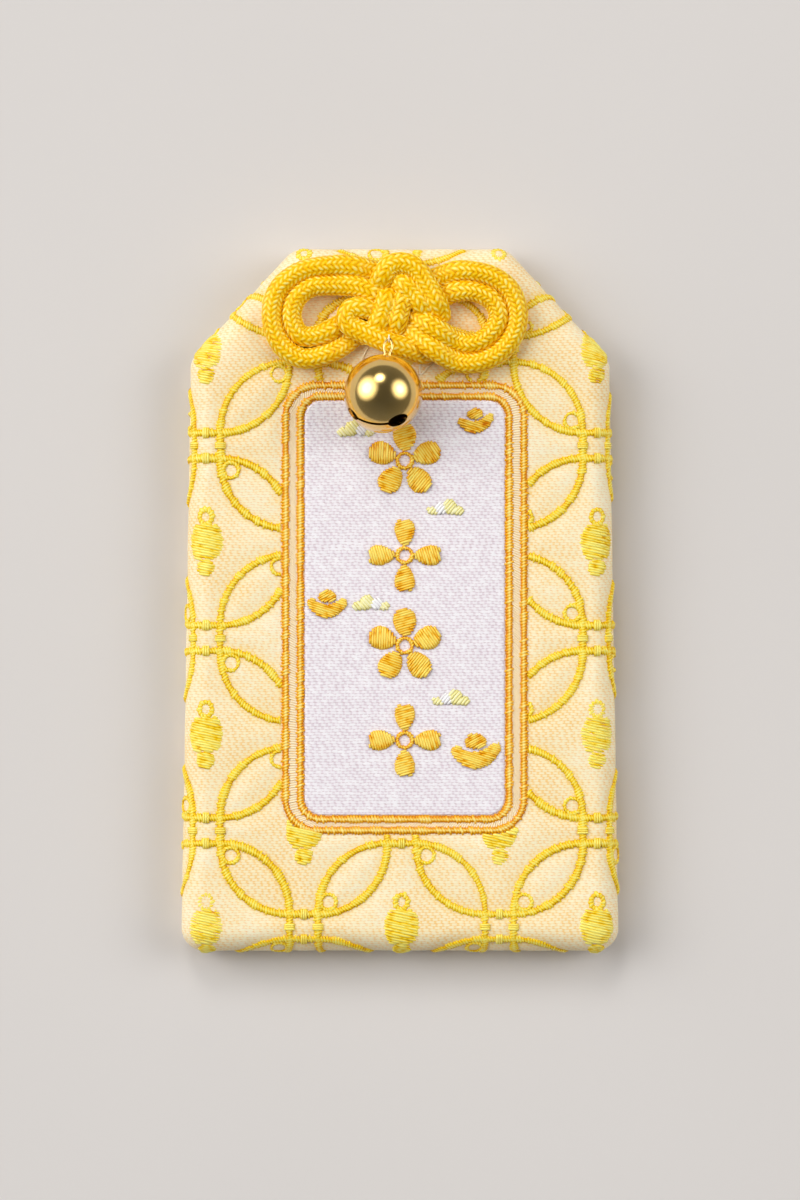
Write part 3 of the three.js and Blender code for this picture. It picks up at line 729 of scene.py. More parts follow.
lemonThread = rayonThread("lemonRayonThread", (0.05, "#DE9A00"), (0.36, "#FBD200"), (0.95, "#FFF27C"))
goldThread = rayonThread("goldRayonThread", (0.05, "#D87A00"), (0.4, "#F8B800"), (0.95, "#FFE66C"))
borderThread = rayonThread("brightGoldRayonThread", (0.05, "#DE8200"), (0.36, "#F6B200"), (0.92, "#FFEC90"))
paleThread = rayonThread("paleYellowRayonThread", (0.05, "#CDBE62"), (0.5, "#F1E78F"), (0.95, "#FBF6C4"))
whiteThread = rayonThread("whiteRayonThread", (0.05, "#C9BFC2"), (0.5, "#F3EFF2"), (0.95, "#FFFFFF"))
beigeThread = rayonThread("beigeRayonThread", (0.05, "#CC9650"), (0.5, "#EFCA90"), (0.95, "#FFEFCE"))


# Line lattice with lanterns, on the front and the back

lantern = {
    "bodyWidth": 4.5, "bodyHeight": 4.4, "bodyTilt": -0.22, "barrel": 0.66, "seed": 200,
    "cap": (0, 3.2, 0.78, 0.92), "tail": (0, -3.25, 1.175, 1.1),  # x, y, half width, half height
    "pitch": 0.33, "ragged": 0.24, "backReach": 3.7, "topRow": -2,
    "thread": {"width": 0.45, "height": 0.22, "pad": 0.22, "steps": 18, "dents": 2},
    "capLine": {"width": 1.15, "height": 0.34, "pitch": 0.42, "slant": 0.4, "columns": 6, "step": 0.09},
}


def onBackCloth(flat):
    # short of the seam, and of the mouth's lip along the top
    atMouth = mouthGape(flat[..., 0]) * (flat[..., 1] > pouchTop - pouch["edgeRound"])
    return fromFlatFace(flat)[0] < wrapReach - mouthLip * atMouth - lattice["edgeRoom"]


def onFrontCloth(flat):
    return onBackCloth(flat) & (fromBorder(flat) > lattice["borderRoom"])


def onFlatBack(flat):
    return fromFlatFace(flat)[0] < lantern["backReach"]


def keptRows(rows, keep, samples=41, leastSamples=3):
    # each thread is cut to the stretch that lies on the cloth that shows
    starts, ends = rows
    path = starts[:, None] + (ends - starts)[:, None] * np.linspace(0, 1, samples)[None, :, None]
    shows = keep(path)
    first = shows.argmax(1)
    last = samples - 1 - shows[:, ::-1].argmax(1)
    row = np.arange(len(starts))
    kept = shows.any(1) & (last - first > leastSamples)
    return path[row, first][kept], path[row, last][kept]


def lanternRows(place, seed):
    # barrel: half width shrinks with the root of one less a share of the squared height; a round tail below
    v = np.linspace(-1, 1, 25)
    half = lantern["bodyWidth"] / 2 * np.sqrt(1 - lantern["barrel"] * v ** 2)
    y = v * lantern["bodyHeight"] / 2
    barrel = np.concatenate([np.stack([half, y], -1), np.stack([-half, y], -1)[::-1]])
    rows = [satinRows(shape + place, lantern["bodyTilt"], lantern, seed + k)
            for k, shape in enumerate((barrel, oval(*lantern["tail"])))]
    return [np.concatenate(ends) for ends in zip(*rows)]


def beadRows(place):
    # three short threads across the middle of each side of a small square
    reachX, reachY = lattice["pitchX"] - lattice["half"], lattice["pitchY"] - lattice["half"]
    sides = np.array([[reachX, 0], [-reachX, 0], [0, reachY], [0, -reachY]])
    offsets = np.array([-1, 0, 1]) * lattice["beadPitch"]
    outward = unit(sides)
    along = np.stack([-outward[:, 1], outward[:, 0]], -1)
    middles = (place + sides[:, None, :] + along[:, None, :] * offsets[None, :, None]).reshape(-1, 2)
    reach = np.repeat(outward, len(offsets), axis=0) * lattice["beadLength"] / 2
    return middles - reach, middles + reach


def latticeGrids(side, keep, look):
    lines, lanterns = [], []
    square = roundedRectangle(2 * lattice["half"], 2 * lattice["half"], lattice["radius"], look["step"])
    ring = oval(0, 0, lattice["ringRadius"], lattice["ringRadius"], lattice["ringLine"]["step"])
    cap = oval(*lantern["cap"], lantern["capLine"]["step"])
    lie = settled if side > 0 else np.array
    for i in range(*lattice["across"]):
        for j in range(*lattice["down"]):
            place = latticePlace(i, j)
            if (i + j) % 2:
                lines += clippedLine(lie(square + place), look, keep, side)
                starts, ends = lanternRows(place, lantern["seed"] + 24 * i + 2 * j)
                if side < 0 and not (onFlatBack(starts) & onFlatBack(ends)).all():
                    continue  # the back has only whole lanterns
                rows = keptRows((lie(starts), lie(ends)), keep)
                lanterns += clippedLine(lie(cap + place), lantern["capLine"], keep, side)
                # only rings along the front's top edge
                if len(rows[0]) and (side < 0 or j != lantern["topRow"]):
                    lanterns.append(satinThreads(rows, lantern["thread"], side))
                continue
            # a ring in the tip of two of the four leaves that meet at each small square
            lean = -1 if i % 2 == 0 else 1
            for way in (-1, 1):
                tip = place + way * lattice["ringAway"] * np.array([1, lean])
                lines += clippedLine(lie(ring + tip), lattice["ringLine"], keep, side)
            starts, ends = beadRows(place)
            rows = keptRows((lie(starts), lie(ends)), keep)
            if len(rows[0]):
                lines.append(satinThreads(rows, lattice["bead"], side))
    return joinGrids(lines), joinGrids(lanterns)


def makeLattice():
    for name, side, keep, look in (("front", 1, onFrontCloth, lattice["line"]),
                                   ("back", -1, onBackCloth, lattice["backLine"])):
        lines, lanterns = latticeGrids(side, keep, look)
        makePiece(f"{name}LatticeLines", lines, lemonThread)
        makePiece(f"{name}Lanterns", lanterns, lemonThread)
        print(f"{name} lattice: {2 * len(lines[1])} and {2 * len(lanterns[1])} triangles")


makeLattice()
print("stage: lattice stitched")


# Bordered field

field = {
    "rows": 150, "columns": 80, "columnSpread": 0.3, "edge": 0.3, "sink": 0.03,
    # the border lines carry a stronger painted highlight streak on their crown
    "borderLine": {"width": 1.28, "height": 0.38, "pitch": 0.38, "slant": 0.5, "highlightStreak": 0.72,
                   "columns": 9, "step": 0.055},
    "bandRib": 0.34, "bandStep": 0.06, "bandHeight": 0.16, "bandOverlap": 0.12, "bandColumns": 5,
}
# Polyester fill stitch in pale lavender: white painted highlight on the crowns, dusky pink painted shade in
# the needle dents
lavender = {
    "rowPitch": 0.38, "stitch": 0.9, "dash": 0.26, "edge": 0.26, "drift": 0.3, "driftScale": 0.6,
    "bump": 0.28, "relief": 0.12, "cloudScale": 0.8, "uneven": 0.4,
    "stops": [(0.4, "#E5D8E0"), (0.75, "#EEE4EA"), (1.0, "#FBF7FA")], "pale": "#FBF7FA", "shadedDent": "#CBB3B9",
    "finish": {"Roughness": 0.55, "Specular IOR Level": 0.4, "Sheen Weight": 0.1, "Sheen Roughness": 0.5},
}
patchLift = nodeBox("centre_patch")[1][2] - frontFace


def makeField():
    line, bandEnd = centre["line"], centre["bandEnd"]
    half = nodeMiddle("centre_patch")[1]
    radius = centre["radius"] - 2 * line - bandEnd
    # rows across a rounded rectangle: near each end a row is short by the circle's fall
    y = half[1] * spread(field["rows"])
    into = np.clip(radius - (half[1] - np.abs(y)), 0, radius)
    width = half[0] - radius + np.sqrt(radius ** 2 - into ** 2)
    flat = rowsAcross(y, width, spread(field["columns"], field["columnSpread"]))
    inset = -roundedGap(flat, half[0], half[1], radius)
    lift = -field["sink"] + (patchLift + field["sink"]) * quarterRound(inset, field["edge"])
    spot = flat + centrePlace
    grid = layOnPouch(spot, lift), gridFaces(*flat.shape[:2]), {}
    makePiece("lavenderField", grid, fillStitch("lavenderPolyesterFillStitch", lavender),
              replaced=["centre_patch"], uv=spot.reshape(-1, 2))

    for inner, name in enumerate(("outer", "inner")):
        node = f"border_{name}"
        size = 2 * nodeMiddle(node)[1] - line
        radius = centre["radius"] - line / 2 - inner * (line + bandEnd)
        path = roundedRectangle(size[0], size[1], radius, field["borderLine"]["step"]) + centrePlace
        grid = stitchedLine(path, field["borderLine"], closed=True)
        makePiece(f"{name}BorderLine", grid, borderThread, replaced=[node])

    # the beige band: a ribbed strip between the two lines, its ribs across it
    innerSize = 2 * nodeMiddle("border_inner")[1] - 2 * field["bandOverlap"]
    outerSize = 2 * centreHalf - 2 * line + 2 * field["bandOverlap"]
    count = 2 * (2 * centreHalf).sum() / field["bandStep"]
    turn = np.linspace(0, 1, int(count), endpoint=False)
    rims = []
    outerRadius = centre["radius"] - line
    for size, radius in ((outerSize, outerRadius), (innerSize, outerRadius - bandEnd)):
        rim = roundedRectangle(size[0], size[1], radius, field["bandStep"])
        places = np.linspace(0, 1, len(rim) + 1)
        loop = np.vstack([rim, rim[:1]])
        rims.append(np.stack([np.interp(turn, places, column) for column in loop.T], -1)[:, None])
    across = np.linspace(0, 1, field["bandColumns"])[:, None]
    flat = rims[0] * (1 - across) + rims[1] * across + centrePlace
    ribs = round(count * field["bandStep"] / field["bandRib"])
    rib = np.abs(np.cos(np.pi * ribs * turn))[:, None] ** 0.6 * np.ones(field["bandColumns"])
    points = layOnPouch(flat, field["bandHeight"] * (0.35 + 0.65 * rib))
    faces = gridFaces(*rib.shape, closedRows=True)[:, ::-1]
    # painted highlight on each rib and painted shade between the ribs, by the thread mark
    makePiece("beigeBand", (points, faces, {"thread": (0.2 + 0.8 * rib).ravel()}), beigeThread)


makeField()
print("stage: bordered field stitched")


# Flower crests, ingots and clouds on the field

crest = {
    "petalAway": 3.0, "petalLength": 3.5, "petalWidth": 3.4, "threadTilt": 0.28,
    "roundSides": (0.86, 0.14), "pointedSides": (0.74, 0.2),  # share of the width, and more of it to the tip
    "notch": 0.44, "notchReach": 0.5,
    "pitch": 0.31, "ragged": 0.08, "eyeRadius": 0.95, "seed": 300,
    "thread": {"width": 0.37, "height": 0.13, "pad": 0.34, "steps": 12, "dents": 1},
    "eyeLine": {"width": 0.62, "height": 0.4, "pitch": 0.36, "slant": 0.4, "columns": 6, "step": 0.08},
}
ingot = {
    "pitch": 0.28, "ragged": 0.12, "boatTilt": -0.3, "beadTilt": 0.5, "seed": 400,
    "lean": {"upper": 0.14, "middle": 0.0, "lower": 0.08},
    # shares of the whole width and height; the horn is a share of half the boat
    "spineReach": 0.46, "spineFoot": 0.24, "spineRise": 0.42, "thick": 0.24, "thinner": 0.12,
    "hornFrom": 0.86, "horn": 0.14, "beadReach": 0.21, "beadMiddle": 0.73,
    "beadBelow": 0.17, "beadAbove": 0.27,
    "thread": {"width": 0.34, "height": 0.13, "pad": 0.32, "steps": 16, "dents": 2},
}
cloud = {
    "pitch": 0.36, "ragged": 0.1, "tilt": 0.7, "seed": 500,
    "thread": {"width": 0.42, "height": 0.12, "pad": 0.22, "steps": 7, "dents": 0},
    # middle of each cloud about the field's centre, and which way it trails
    "places": [(-6.2, 22.6, 1), (5.2, 12.6, -1), (-4.3, 0.4, 1), (5.9, -11.7, -1)],
    # puffs: x, y, half width, half height, thread
    "puffs": [(-1.55, -0.15, 0.8, 0.6, "pale"), (-0.55, 0.3, 0.9, 0.95, "pale"),
              (0.65, 0.1, 0.85, 0.75, "white"), (1.6, -0.2, 0.75, 0.5, "pale")],
}


def satinShape(outline, angle, look, seed):
    return satinThreads(satinRows(outline, angle, look, seed), look["thread"], base=patchLift)


def petalOutline(pointed):
    # an oval petal along +Y, narrower at its foot; a pointed one is slimmer, with a notch in its tip
    turn = wholeTurn(48)
    share, taper = crest["pointedSides"] if pointed else crest["roundSides"]
    x = crest["petalWidth"] / 2 * np.cos(turn) * (share + taper * np.sin(turn))
    y = crest["petalLength"] / 2 * np.sin(turn)
    if pointed:
        y = y - crest["notch"] * np.exp(-(x / crest["notchReach"]) ** 2) * (np.sin(turn) > 0)
    return np.stack([x, y + crest["petalAway"]], -1)


def crestGrid(place, petals, seed):
    grids = []
    for k in range(petals):
        angle = 2 * np.pi * k / petals
        outline = turned(petalOutline(petals == 4), angle) + place
        grids.append(satinShape(outline, angle + crest["threadTilt"], crest, seed + k))
    eye = oval(*place, crest["eyeRadius"], crest["eyeRadius"], crest["eyeLine"]["step"])
    grids.append(stitchedLine(eye, crest["eyeLine"], closed=True, base=patchLift))
    return joinGrids(grids)


def ingotOutlines(width, height):
    # boat: a band about a parabola, thick in the middle, thin and rounded at the horns; bead: a dome over it
    s = np.linspace(-1, 1, 41)
    rise = ingot["spineFoot"] + ingot["spineRise"] * s ** 2
    spine = np.stack([width * ingot["spineReach"] * s, height * rise], -1)
    left = alongPath(spine)[1]
    intoHorn = np.clip(np.abs(s) - ingot["hornFrom"], 0, 1) / ingot["horn"]
    tip = np.sqrt(np.clip(1 - intoHorn ** 2, 0, 1))
    half = (height * (ingot["thick"] - ingot["thinner"] * s ** 2) * tip)[:, None]
    boat = np.concatenate([spine - left * half, (spine + left * half)[::-1][1:-1]])
    turn = wholeTurn(40)
    dome = np.where(np.sin(turn) < 0, ingot["beadBelow"], ingot["beadAbove"])
    bead = np.stack([width * ingot["beadReach"] * np.cos(turn),
                     height * (ingot["beadMiddle"] + dome * np.sin(turn))], -1)
    return boat, bead


def makeOrnaments():
    for k in range(4):
        node = f"emblem_{k + 1}"
        grid = crestGrid(nodeMiddle(node)[0][:2], 4 if k % 2 else 5, crest["seed"] + 10 * k)
        makePiece(f"flowerCrest{k + 1}", grid, goldThread, replaced=[node])
    for k, (name, lean) in enumerate(ingot["lean"].items()):
        node = f"ingot_{name}"
        middle, half = nodeMiddle(node)
        foot = np.array([middle[0], nodeBox(node)[0][1]])
        tilts = ingot["boatTilt"], ingot["beadTilt"]
        grids = [satinShape(turned(shape, lean) + foot, tilt, ingot, ingot["seed"] + 10 * k + n)
                 for n, (shape, tilt) in enumerate(zip(ingotOutlines(2 * half[0], 2 * half[1]), tilts))]
        makePiece(f"{name}Ingot", joinGrids(grids), goldThread, replaced=[node])
    puffs = {"pale": [], "white": []}
    for k, (x, y, way) in enumerate(cloud["places"]):
        for n, (dx, dy, wide, high, thread) in enumerate(cloud["puffs"]):
            outline = oval(x + way * dx, y + dy, wide, high) + centrePlace
            angle = way * cloud["tilt"] + np.pi / 2
            puffs[thread].append(satinShape(outline, angle, cloud, cloud["seed"] + 10 * k + n))
    makePiece("cloudPuffsPale", joinGrids(puffs["pale"]), paleThread)
    makePiece("cloudPuffsWhite", joinGrids(puffs["white"]), whiteThread)


makeOrnaments()
print("stage: ornaments stitched")


# Knot

knot = {
    "drop": 8.0,  # centre of the knot below the top edge
    "diameter": 2.66, "crossingWidth": 2.75, "crossingThickness": 1.9,
    "crossingReach": 6.5, "roundReach": 9.5,
    "columns": 12, "plaitPitch": 0.72, "plaitSlant": 0.8, "relief": 0.13, "sides": 60, "step": 0.12,
    "endRound": 0.9, "endRing": 0.02,
    # heights of the cord's centre over the cloth
    "under": 0.925, "midway": 1.65, "rising": 2.0125, "over": 2.375, "lying": 1.45,
    "tackThread": 0.26, "tackHeight": 0.2, "tackStep": 0.08,
    "tacks": {  # x and y about the knot's centre
        "right": [(3.4, -4.6), (2.6, -7), (2.6, -8.2), (3.7, -7.2), (4.6, -6.6)],
        "left": [(-4, -4.6), (-4.7, -6), (-4.9, -7), (-4.5, -7.7)],
    },
}
knotPlace = np.array([0, pouchTop - knot["drop"], frontFace])
under, midway, rising, over, lying = (knot[key] for key in ("under", "midway", "rising", "over", "lying"))
# x and y about the knot's centre, height over the cloth; the solids' routes, with ends tucked further in
outerRoute = [
    (-1.5, 2.6, under), (-1.7, 1.3, over), (-2.2, -0.2, over), (-2.7, -1.6, over), (-3.3, -2.6, midway),
    (-4.3, -3.1, under), (-5.6, -3.2, under), (-7, -4.3, under), (-9.4, -5.7, lying),
    (-12.4, -6.2, lying), (-15.1, -4.5, lying), (-16.3, -0.9, lying), (-15.5, 2.5, lying),
    (-12.7, 4.8, lying), (-8.4, 5.6, lying), (-5.9, 5.5, lying), (-4.2, 5.1, under), (-2, 4.5, under),
    (-0.6, 3.8, midway), (0.6, 3.0, over), (1.75, 1.9, over), (2.6, 0.8, over), (3.3, -0.4, midway),
    (3.9, -1.9, under), (4.3, -3.6, under), (4.1, -4.9, under), (3.0, -5.55, under),
    (1, -4.95, rising), (-1.5, -4.25, over), (-3.6, -3.35, over), (-5.2, -2.65, over),
    (-6.3, -2.05, over), (-6.8, -1.05, over), (-6.2, 0, over), (-4.8, 0.15, over),
    (-3.1, -0.3, midway), (-1.5, -1.0, under), (0.1, -1.8, under), (1.9, -3.1, midway), (4.1, -4.9, over),
    (7.1, -6.6, lying), (9.6, -6.8, lying), (12.6, -5.5, lying), (14.5, -3.1, lying), (15, -0.4, lying),
    (14, 2.5, lying), (11.8, 4.2, lying), (9, 4.9, lying), (7.1, 4.9, lying),
    (5.6, 4.4, under), (4.1, 3.8, under), (2.9, 3.2, under),
]
innerRoute = [
    (5.2, -1.7, under), (5.1, -0.4, midway), (4.6, 1.0, over), (3.9, 2.3, over), (3.1, 3.6, over),
    (2.4, 4.8, over), (1.4, 5.6, over), (-0.1, 5.9, over), (-1.4, 5.4, over), (-2.2, 4.2, over),
    (-3.1, 2.3, under), (-4, 1.3, under), (-5, 0.3, under), (-6.1, -0.7, under), (-7.3, -1.7, under),
    (-8.9, -2.6, lying), (-10.9, -3.4, lying), (-12.7, -3.2, lying), (-13.8, -1.1, lying),
    (-13.3, 1.2, lying), (-11.4, 2.8, lying), (-8.4, 3.1, lying), (-5.4, 2.9, midway),
    (-3.4, 2.2, midway), (-1.9, 1.4, under),
    (-0.4, 0.6, under), (1, -0.3, under), (2.2, -1.1, midway), (3.5, -1.9, over), (5.2, -2.9, over),
    (7.2, -4, lying), (9.4, -4.3, lying), (11.4, -3.2, lying), (12.6, -0.8, lying), (11.7, 1.2, lying),
    (9.4, 2.3, lying), (7.1, 2.3, lying), (5.2, 1.6, under), (3.3, 1.4, under), (2.1, 1.6, under),
    (1.1, 1.6, midway), (0.3, 1.0, over), (-0.1, -0.3, over), (-0.4, -1.5, over), (-0.8, -2.6, midway),
    (-1.1, -3.5, under), (-1.2, -4.4, under),
]


def braidGrid(route):
    # An oval carried along the route. Columns of plaits go round it; in each, a plait's bulge is the
    # size of a cosine of the length plus a slant across the column, turned the other way in the next column.
    path = smoothPath(np.array(route) + knotPlace, knot["step"])
    length = lengthAlong(path)
    fullRound = smoothStep(knot["crossingReach"], knot["roundReach"], np.abs(path[:, 0]))[:, None]
    halfWidth, halfThick = [(knot[key] + (knot["diameter"] - knot[key]) * fullRound) / 2
                            for key in ("crossingWidth", "crossingThickness")]
    turn = wholeTurn(knot["sides"])
    q = turn / (2 * np.pi) * knot["columns"] + 0.5 / knot["sides"] * knot["columns"]
    column = np.floor(q)
    q = q - column
    odd = column % 2
    phase = length[:, None] / knot["plaitPitch"] + (1 - 2 * odd) * knot["plaitSlant"] * q + 0.5 * odd
    plait = np.abs(np.cos(np.pi * phase)) ** 0.75 * np.sin(np.pi * q) ** 0.4
    chance = chanceAt(seedSteps[0] * np.floor(phase + 0.5) + seedSteps[1] * column, 437.585)
    plait = plait * (0.7 + 0.3 * chance)  # some plaits are slacker
    size = roundedEnds(length, knot["endRound"], knot["endRing"]) * (1 + knot["relief"] * (plait - 0.55))
    points, faces = carried(path, (0, 0, 1), turn, size * halfWidth, size * halfThick)
    # the plait mark also drives the colour: painted highlight on each plait, painted shade between plaits
    return (points, faces, {"plait": plait.ravel()}), length[-1]


# Rayon knotting braid: round plaited cord, glossy, with a painted highlight on each plait and deep orange
# painted shade between them
def goldenBraid():
    finish = {"Roughness": 0.28, "Specular IOR Level": 0.5, "Specular Tint": linear("#FFE38A")}
    filaments = {"Scale": 1 / (0.25 * mm), "Detail": 3.0}  # about 0.1 mm wide
    # painted shade in the low stop, painted highlight in the top stops
    stops = [(0.05, "#C46E00"), (0.3, "#F8B400"), (0.56, "#FFD20C"), (0.88, "#FFEE84")]
    return grained("goldenRayonBraid", finish, filaments, stops, {"Strength": 0.35, "Distance": 0.06 * mm},
                   attribute="plait", uneven=0.5)


# Drawn nylon: a fine, glossy, milky thread that takes on the cream of the cloth
nylon = grained("clearNylonThread", {"Roughness": 0.3, "IOR": 1.53, "Specular IOR Level": 0.7},
                {"Scale": 1 / (0.6 * mm)}, [(0.35, "#F6E4B4"), (0.7, "#FFF8E2")])


def makeKnot():
    material = goldenBraid()
    for name, route in (("outer", outerRoute), ("inner", innerRoute)):
        grid, length = braidGrid(route)
        makePiece(f"{name}KnotCord", grid, material, replaced=[f"knot_cord_{name}"])
        print(f"{name}KnotCord: {length:.0f} mm of cord, {2 * len(grid[1])} triangles")
    for name, tail in knot["tacks"].items():
        points = np.array([(x, y, knot["tackHeight"]) for x, y in tail]) + knotPlace
        tube = tubeGrid(smoothPath(points, knot["tackStep"]), knot["tackThread"], (0, 0, 1))
        makePiece(f"{name}TackThread", tube, nylon, replaced=[f"tack_thread_{name}"])


makeKnot()
print("stage: knot tied")


# Bell

bell = {
    "radius": 5.0, "wall": 0.35,
    "slotMiddle": -95.5, "slotSpan": 74, "slotLean": 27, "slotSkew": -8.5, "slotHalf": 0.22,
    "holes": [(-1, 1.0, 0.8), (1, 1.35, 1.05)],  # which end, half length, half width
    "turns": 260, "latitudes": 44, "slotSpread": 0.65,
    "eyeWire": 0.35, "eyeHeight": 2.4, "eyeWidth": 1.4, "eyeNeck": 0.55, "eyeBend": 0.15, "eyeWidest": 1.3,
    "eyeFoot": 1.0, "eyeFootHeight": 4.15, "eyeStep": 0.1, "eyeSides": 12,
    "tieThread": 0.2, "tieRadius": 0.395, "tieTuck": 0.3, "tieStep": 0.06,
    "peaRadius": 1.2, "peaRows": 25, "peaColumns": 48, "peaRing": 0.01,
}
peaRoll = next(joint for joint in frame["joints"] if joint["name"] == "pea_roll")
bellPlace = np.array(peaRoll["pos_m"]) / mm
bellUp = unit(np.array(peaRoll["axis"]))
bellRight = unit(np.array([1.0, 0, 0]) - bellUp[0] * bellUp)
bellAxes = np.stack([bellRight, bellUp, np.cross(bellRight, bellUp)])  # rows: the bell's own x, y, z


def onBell(local):
    return local @ bellAxes + bellPlace


def slotAxes():
    # the slot's own plane: turned back about x by its lean, then about y by its skew
    lean, skew = np.radians(-bell["slotLean"]), np.radians(bell["slotSkew"])
    aboutX = np.array([[1, 0, 0], [0, np.cos(lean), -np.sin(lean)], [0, np.sin(lean), np.cos(lean)]])
    aboutY = np.array([[np.cos(skew), 0, np.sin(skew)], [0, 1, 0], [-np.sin(skew), 0, np.cos(skew)]])
    return (aboutY @ aboutX).T


def onGlobe(latitude, turn):
    latitude, turn = np.broadcast_arrays(latitude, turn)
    return np.stack([np.cos(latitude) * np.cos(turn), np.cos(latitude) * np.sin(turn), np.sin(latitude)], -1)


def bellShellGrid():
    # A globe whose equator lies along the slot. Latitudes run from each pole down to the slot's edge, which
    # is half the slit wide, or an oval about each end; off the slot both halves share the equator.
    middle, half = np.radians(bell["slotMiddle"]), np.radians(bell["slotSpan"] / 2)
    r = bell["radius"]
    reach = [(middle + end * half, a / r, b / r) for end, a, b in bell["holes"]]
    first, last = reach[0][0] - reach[0][1], reach[1][0] + reach[1][1]
    share = np.linspace(0, 1, bell["turns"] // 2)
    ease = (1 - np.cos(np.pi * share)) / 2
    inSlot = first + (last - first) * ((1 - bell["slotSpread"]) * share + bell["slotSpread"] * ease)
    outside = np.linspace(last, first + 2 * np.pi, bell["turns"] - len(inSlot) + 2)[1:-1]
    turn = np.concatenate([inSlot, outside])
    edge = np.zeros_like(turn)
    for place, a, b in reach:
        edge = np.maximum(edge, b * np.sqrt(np.clip(1 - ((turn - place) / a) ** 2, 0, 1)))
    between = (turn > reach[0][0]) & (turn < reach[1][0])
    edge = np.where(between, np.maximum(edge, bell["slotHalf"] / r), edge)
    edge[len(inSlot):] = 0
    slit = edge > 1e-6
    columns = len(turn)
    fall = np.linspace(0, 1, bell["latitudes"] + 1)[1:, None]
    points, index, count = [], {}, 0
    for skin, radius in (("outside", r), ("inside", r - bell["wall"])):
        for way in (1, -1):
            spot = onGlobe(way * (np.pi / 2 + (edge - np.pi / 2) * fall), turn)
            ids = count + np.arange(spot[..., 0].size).reshape(spot.shape[:2])
            pole = count + ids.size
            count = pole + 1
            if way < 0:  # the two halves share their points where there is no slot
                ids[-1] = np.where(slit, ids[-1], index[skin, 1][0][-1])
            index[skin, way] = ids, pole
            points += [radius * spot.reshape(-1, 3), [[0, 0, way * radius]]]
    points = np.concatenate(points) @ slotAxes()
    faces, normals = [], []
    nextStep = (np.arange(columns) + 1) % columns
    for (skin, way), (ids, pole) in index.items():
        outward = 1 if skin == "outside" else -1
        quads = np.stack([ids[:-1], ids[1:], ids[1:][:, nextStep], ids[:-1][:, nextStep]], -1).reshape(-1, 4)
        caps = np.stack([np.full(columns, pole), ids[0], ids[0][nextStep], ids[0][nextStep]], -1)
        quads = np.concatenate([quads, caps])[:, ::way * outward]
        faces.append(quads)
        normals.append(outward * unit(points[quads]))
    for way in (1, -1):
        outer, inner = index["outside", way][0][-1], index["inside", way][0][-1]
        rim = np.stack([outer, inner, inner[nextStep], outer[nextStep]], -1)[slit | slit[nextStep]][:, ::way]
        across = np.cross(points[rim[:, 1]] - points[rim[:, 0]], points[rim[:, 2]] - points[rim[:, 1]])
        across /= np.maximum(np.linalg.norm(across, axis=1, keepdims=True), 1e-9)
        faces.append(rim)
        normals.append(np.repeat(across[:, None, :], 4, axis=1))
    return points, np.concatenate(faces), np.concatenate(normals)


# Gold-plated brass, spun, polished and lacquered: a mirror with a warm tint under a thin clear coat
def polishedBrass(name, roughness):
    finish = {"Metallic": 1.0, "Roughness": roughness, "Coat Weight": 0.8, "Coat Roughness": 0.1}
    tarnish = {"Scale": 1 / (3 * mm), "Detail": 3.0}  # faint clouds about 3 mm wide
    polishing = {"Scale": 1 / (0.5 * mm), "Detail": 4.0}
    return grained(name, finish, tarnish, [(0.3, "#E6BD66"), (0.7, "#EFCB7C")],
                   {"Strength": 0.02, "Distance": 0.02 * mm}, polishing)


def makeBell():
    points, faces, normals = bellShellGrid()
    brass = polishedBrass("polishedBrass", 0.15)
    makePiece("bellShell", (onBell(points), faces, {}), brass, body="bell",
              replaced=["bell_upper_shell", "bell_lower_shell"], normals=normals @ bellAxes)

    radius, wire, bend, foot = bell["radius"], bell["eyeWire"], bell["eyeBend"], bell["eyeFootHeight"]
    neck, half = bell["eyeNeck"] / 2, bell["eyeWidth"] / 2 - wire / 2
    leg = [(bell["eyeFoot"], foot), (neck + bend, foot), (neck, radius - bell["wall"] / 2),
           (neck, radius + bend), (half, radius + bell["eyeWidest"])]
    loop = leg + [(0, radius + bell["eyeHeight"] - wire / 2)] + [(-x, y) for x, y in leg[::-1]]
    path = onBell(smoothPath([(x, y, 0) for x, y in loop], bell["eyeStep"]))
    makePiece("bellEye", tubeGrid(path, wire, bellAxes[2], bell["eyeSides"]),
              polishedBrass("drawnBrassWire", 0.14), body="bell", replaced=["bell_eye"])

    low, high = nodeBox("bell_tie_thread")
    spot, tie = (low + high) / 2, bell["tieRadius"]
    top = high[2] - bell["tieThread"] / 2 - tie
    turn = np.linspace(np.pi, 0, 9)
    crown = np.stack([tie * np.cos(turn), top + tie * np.sin(turn)], -1)
    loop = np.vstack([(-tie, low[2] - bell["tieTuck"]), crown, (tie, low[2] - bell["tieTuck"])])
    path = np.stack([np.full(len(loop), spot[0]), spot[1] + loop[:, 0], loop[:, 1]], -1)
    tube = tubeGrid(smoothPath(path, bell["tieStep"]), bell["tieThread"], (1, 0, 0))
    makePiece("bellTieThread", tube, nylon, body="bell_tie", replaced=["bell_tie_thread"])

    # the pea: a globe of latitudes and turns, closed by a very small ring at each pole
    latitude = np.linspace(-1, 1, bell["peaRows"])[:, None] * (np.pi / 2 - bell["peaRing"])
    globe = onGlobe(latitude, wholeTurn(bell["peaColumns"]))
    points = bell["peaRadius"] * globe.reshape(-1, 3) + nodeMiddle("bell_pea")[0]
    # Bearing steel: a plain ground ball, grey and half glossy
    steel = grained("groundSteel", {"Metallic": 1.0, "Roughness": 0.3},
                    {"Scale": 1 / (0.4 * mm), "Detail": 3.0}, [(0.3, "#A9ACB0"), (0.7, "#C4C6C9")])
    makePiece("bellPea", (points, gridFaces(*globe.shape[:2], closedColumns=True), {}), steel,
              body="pea", replaced=["bell_pea"])


makeBell()
print("stage: bell hung")


# Filling and talisman

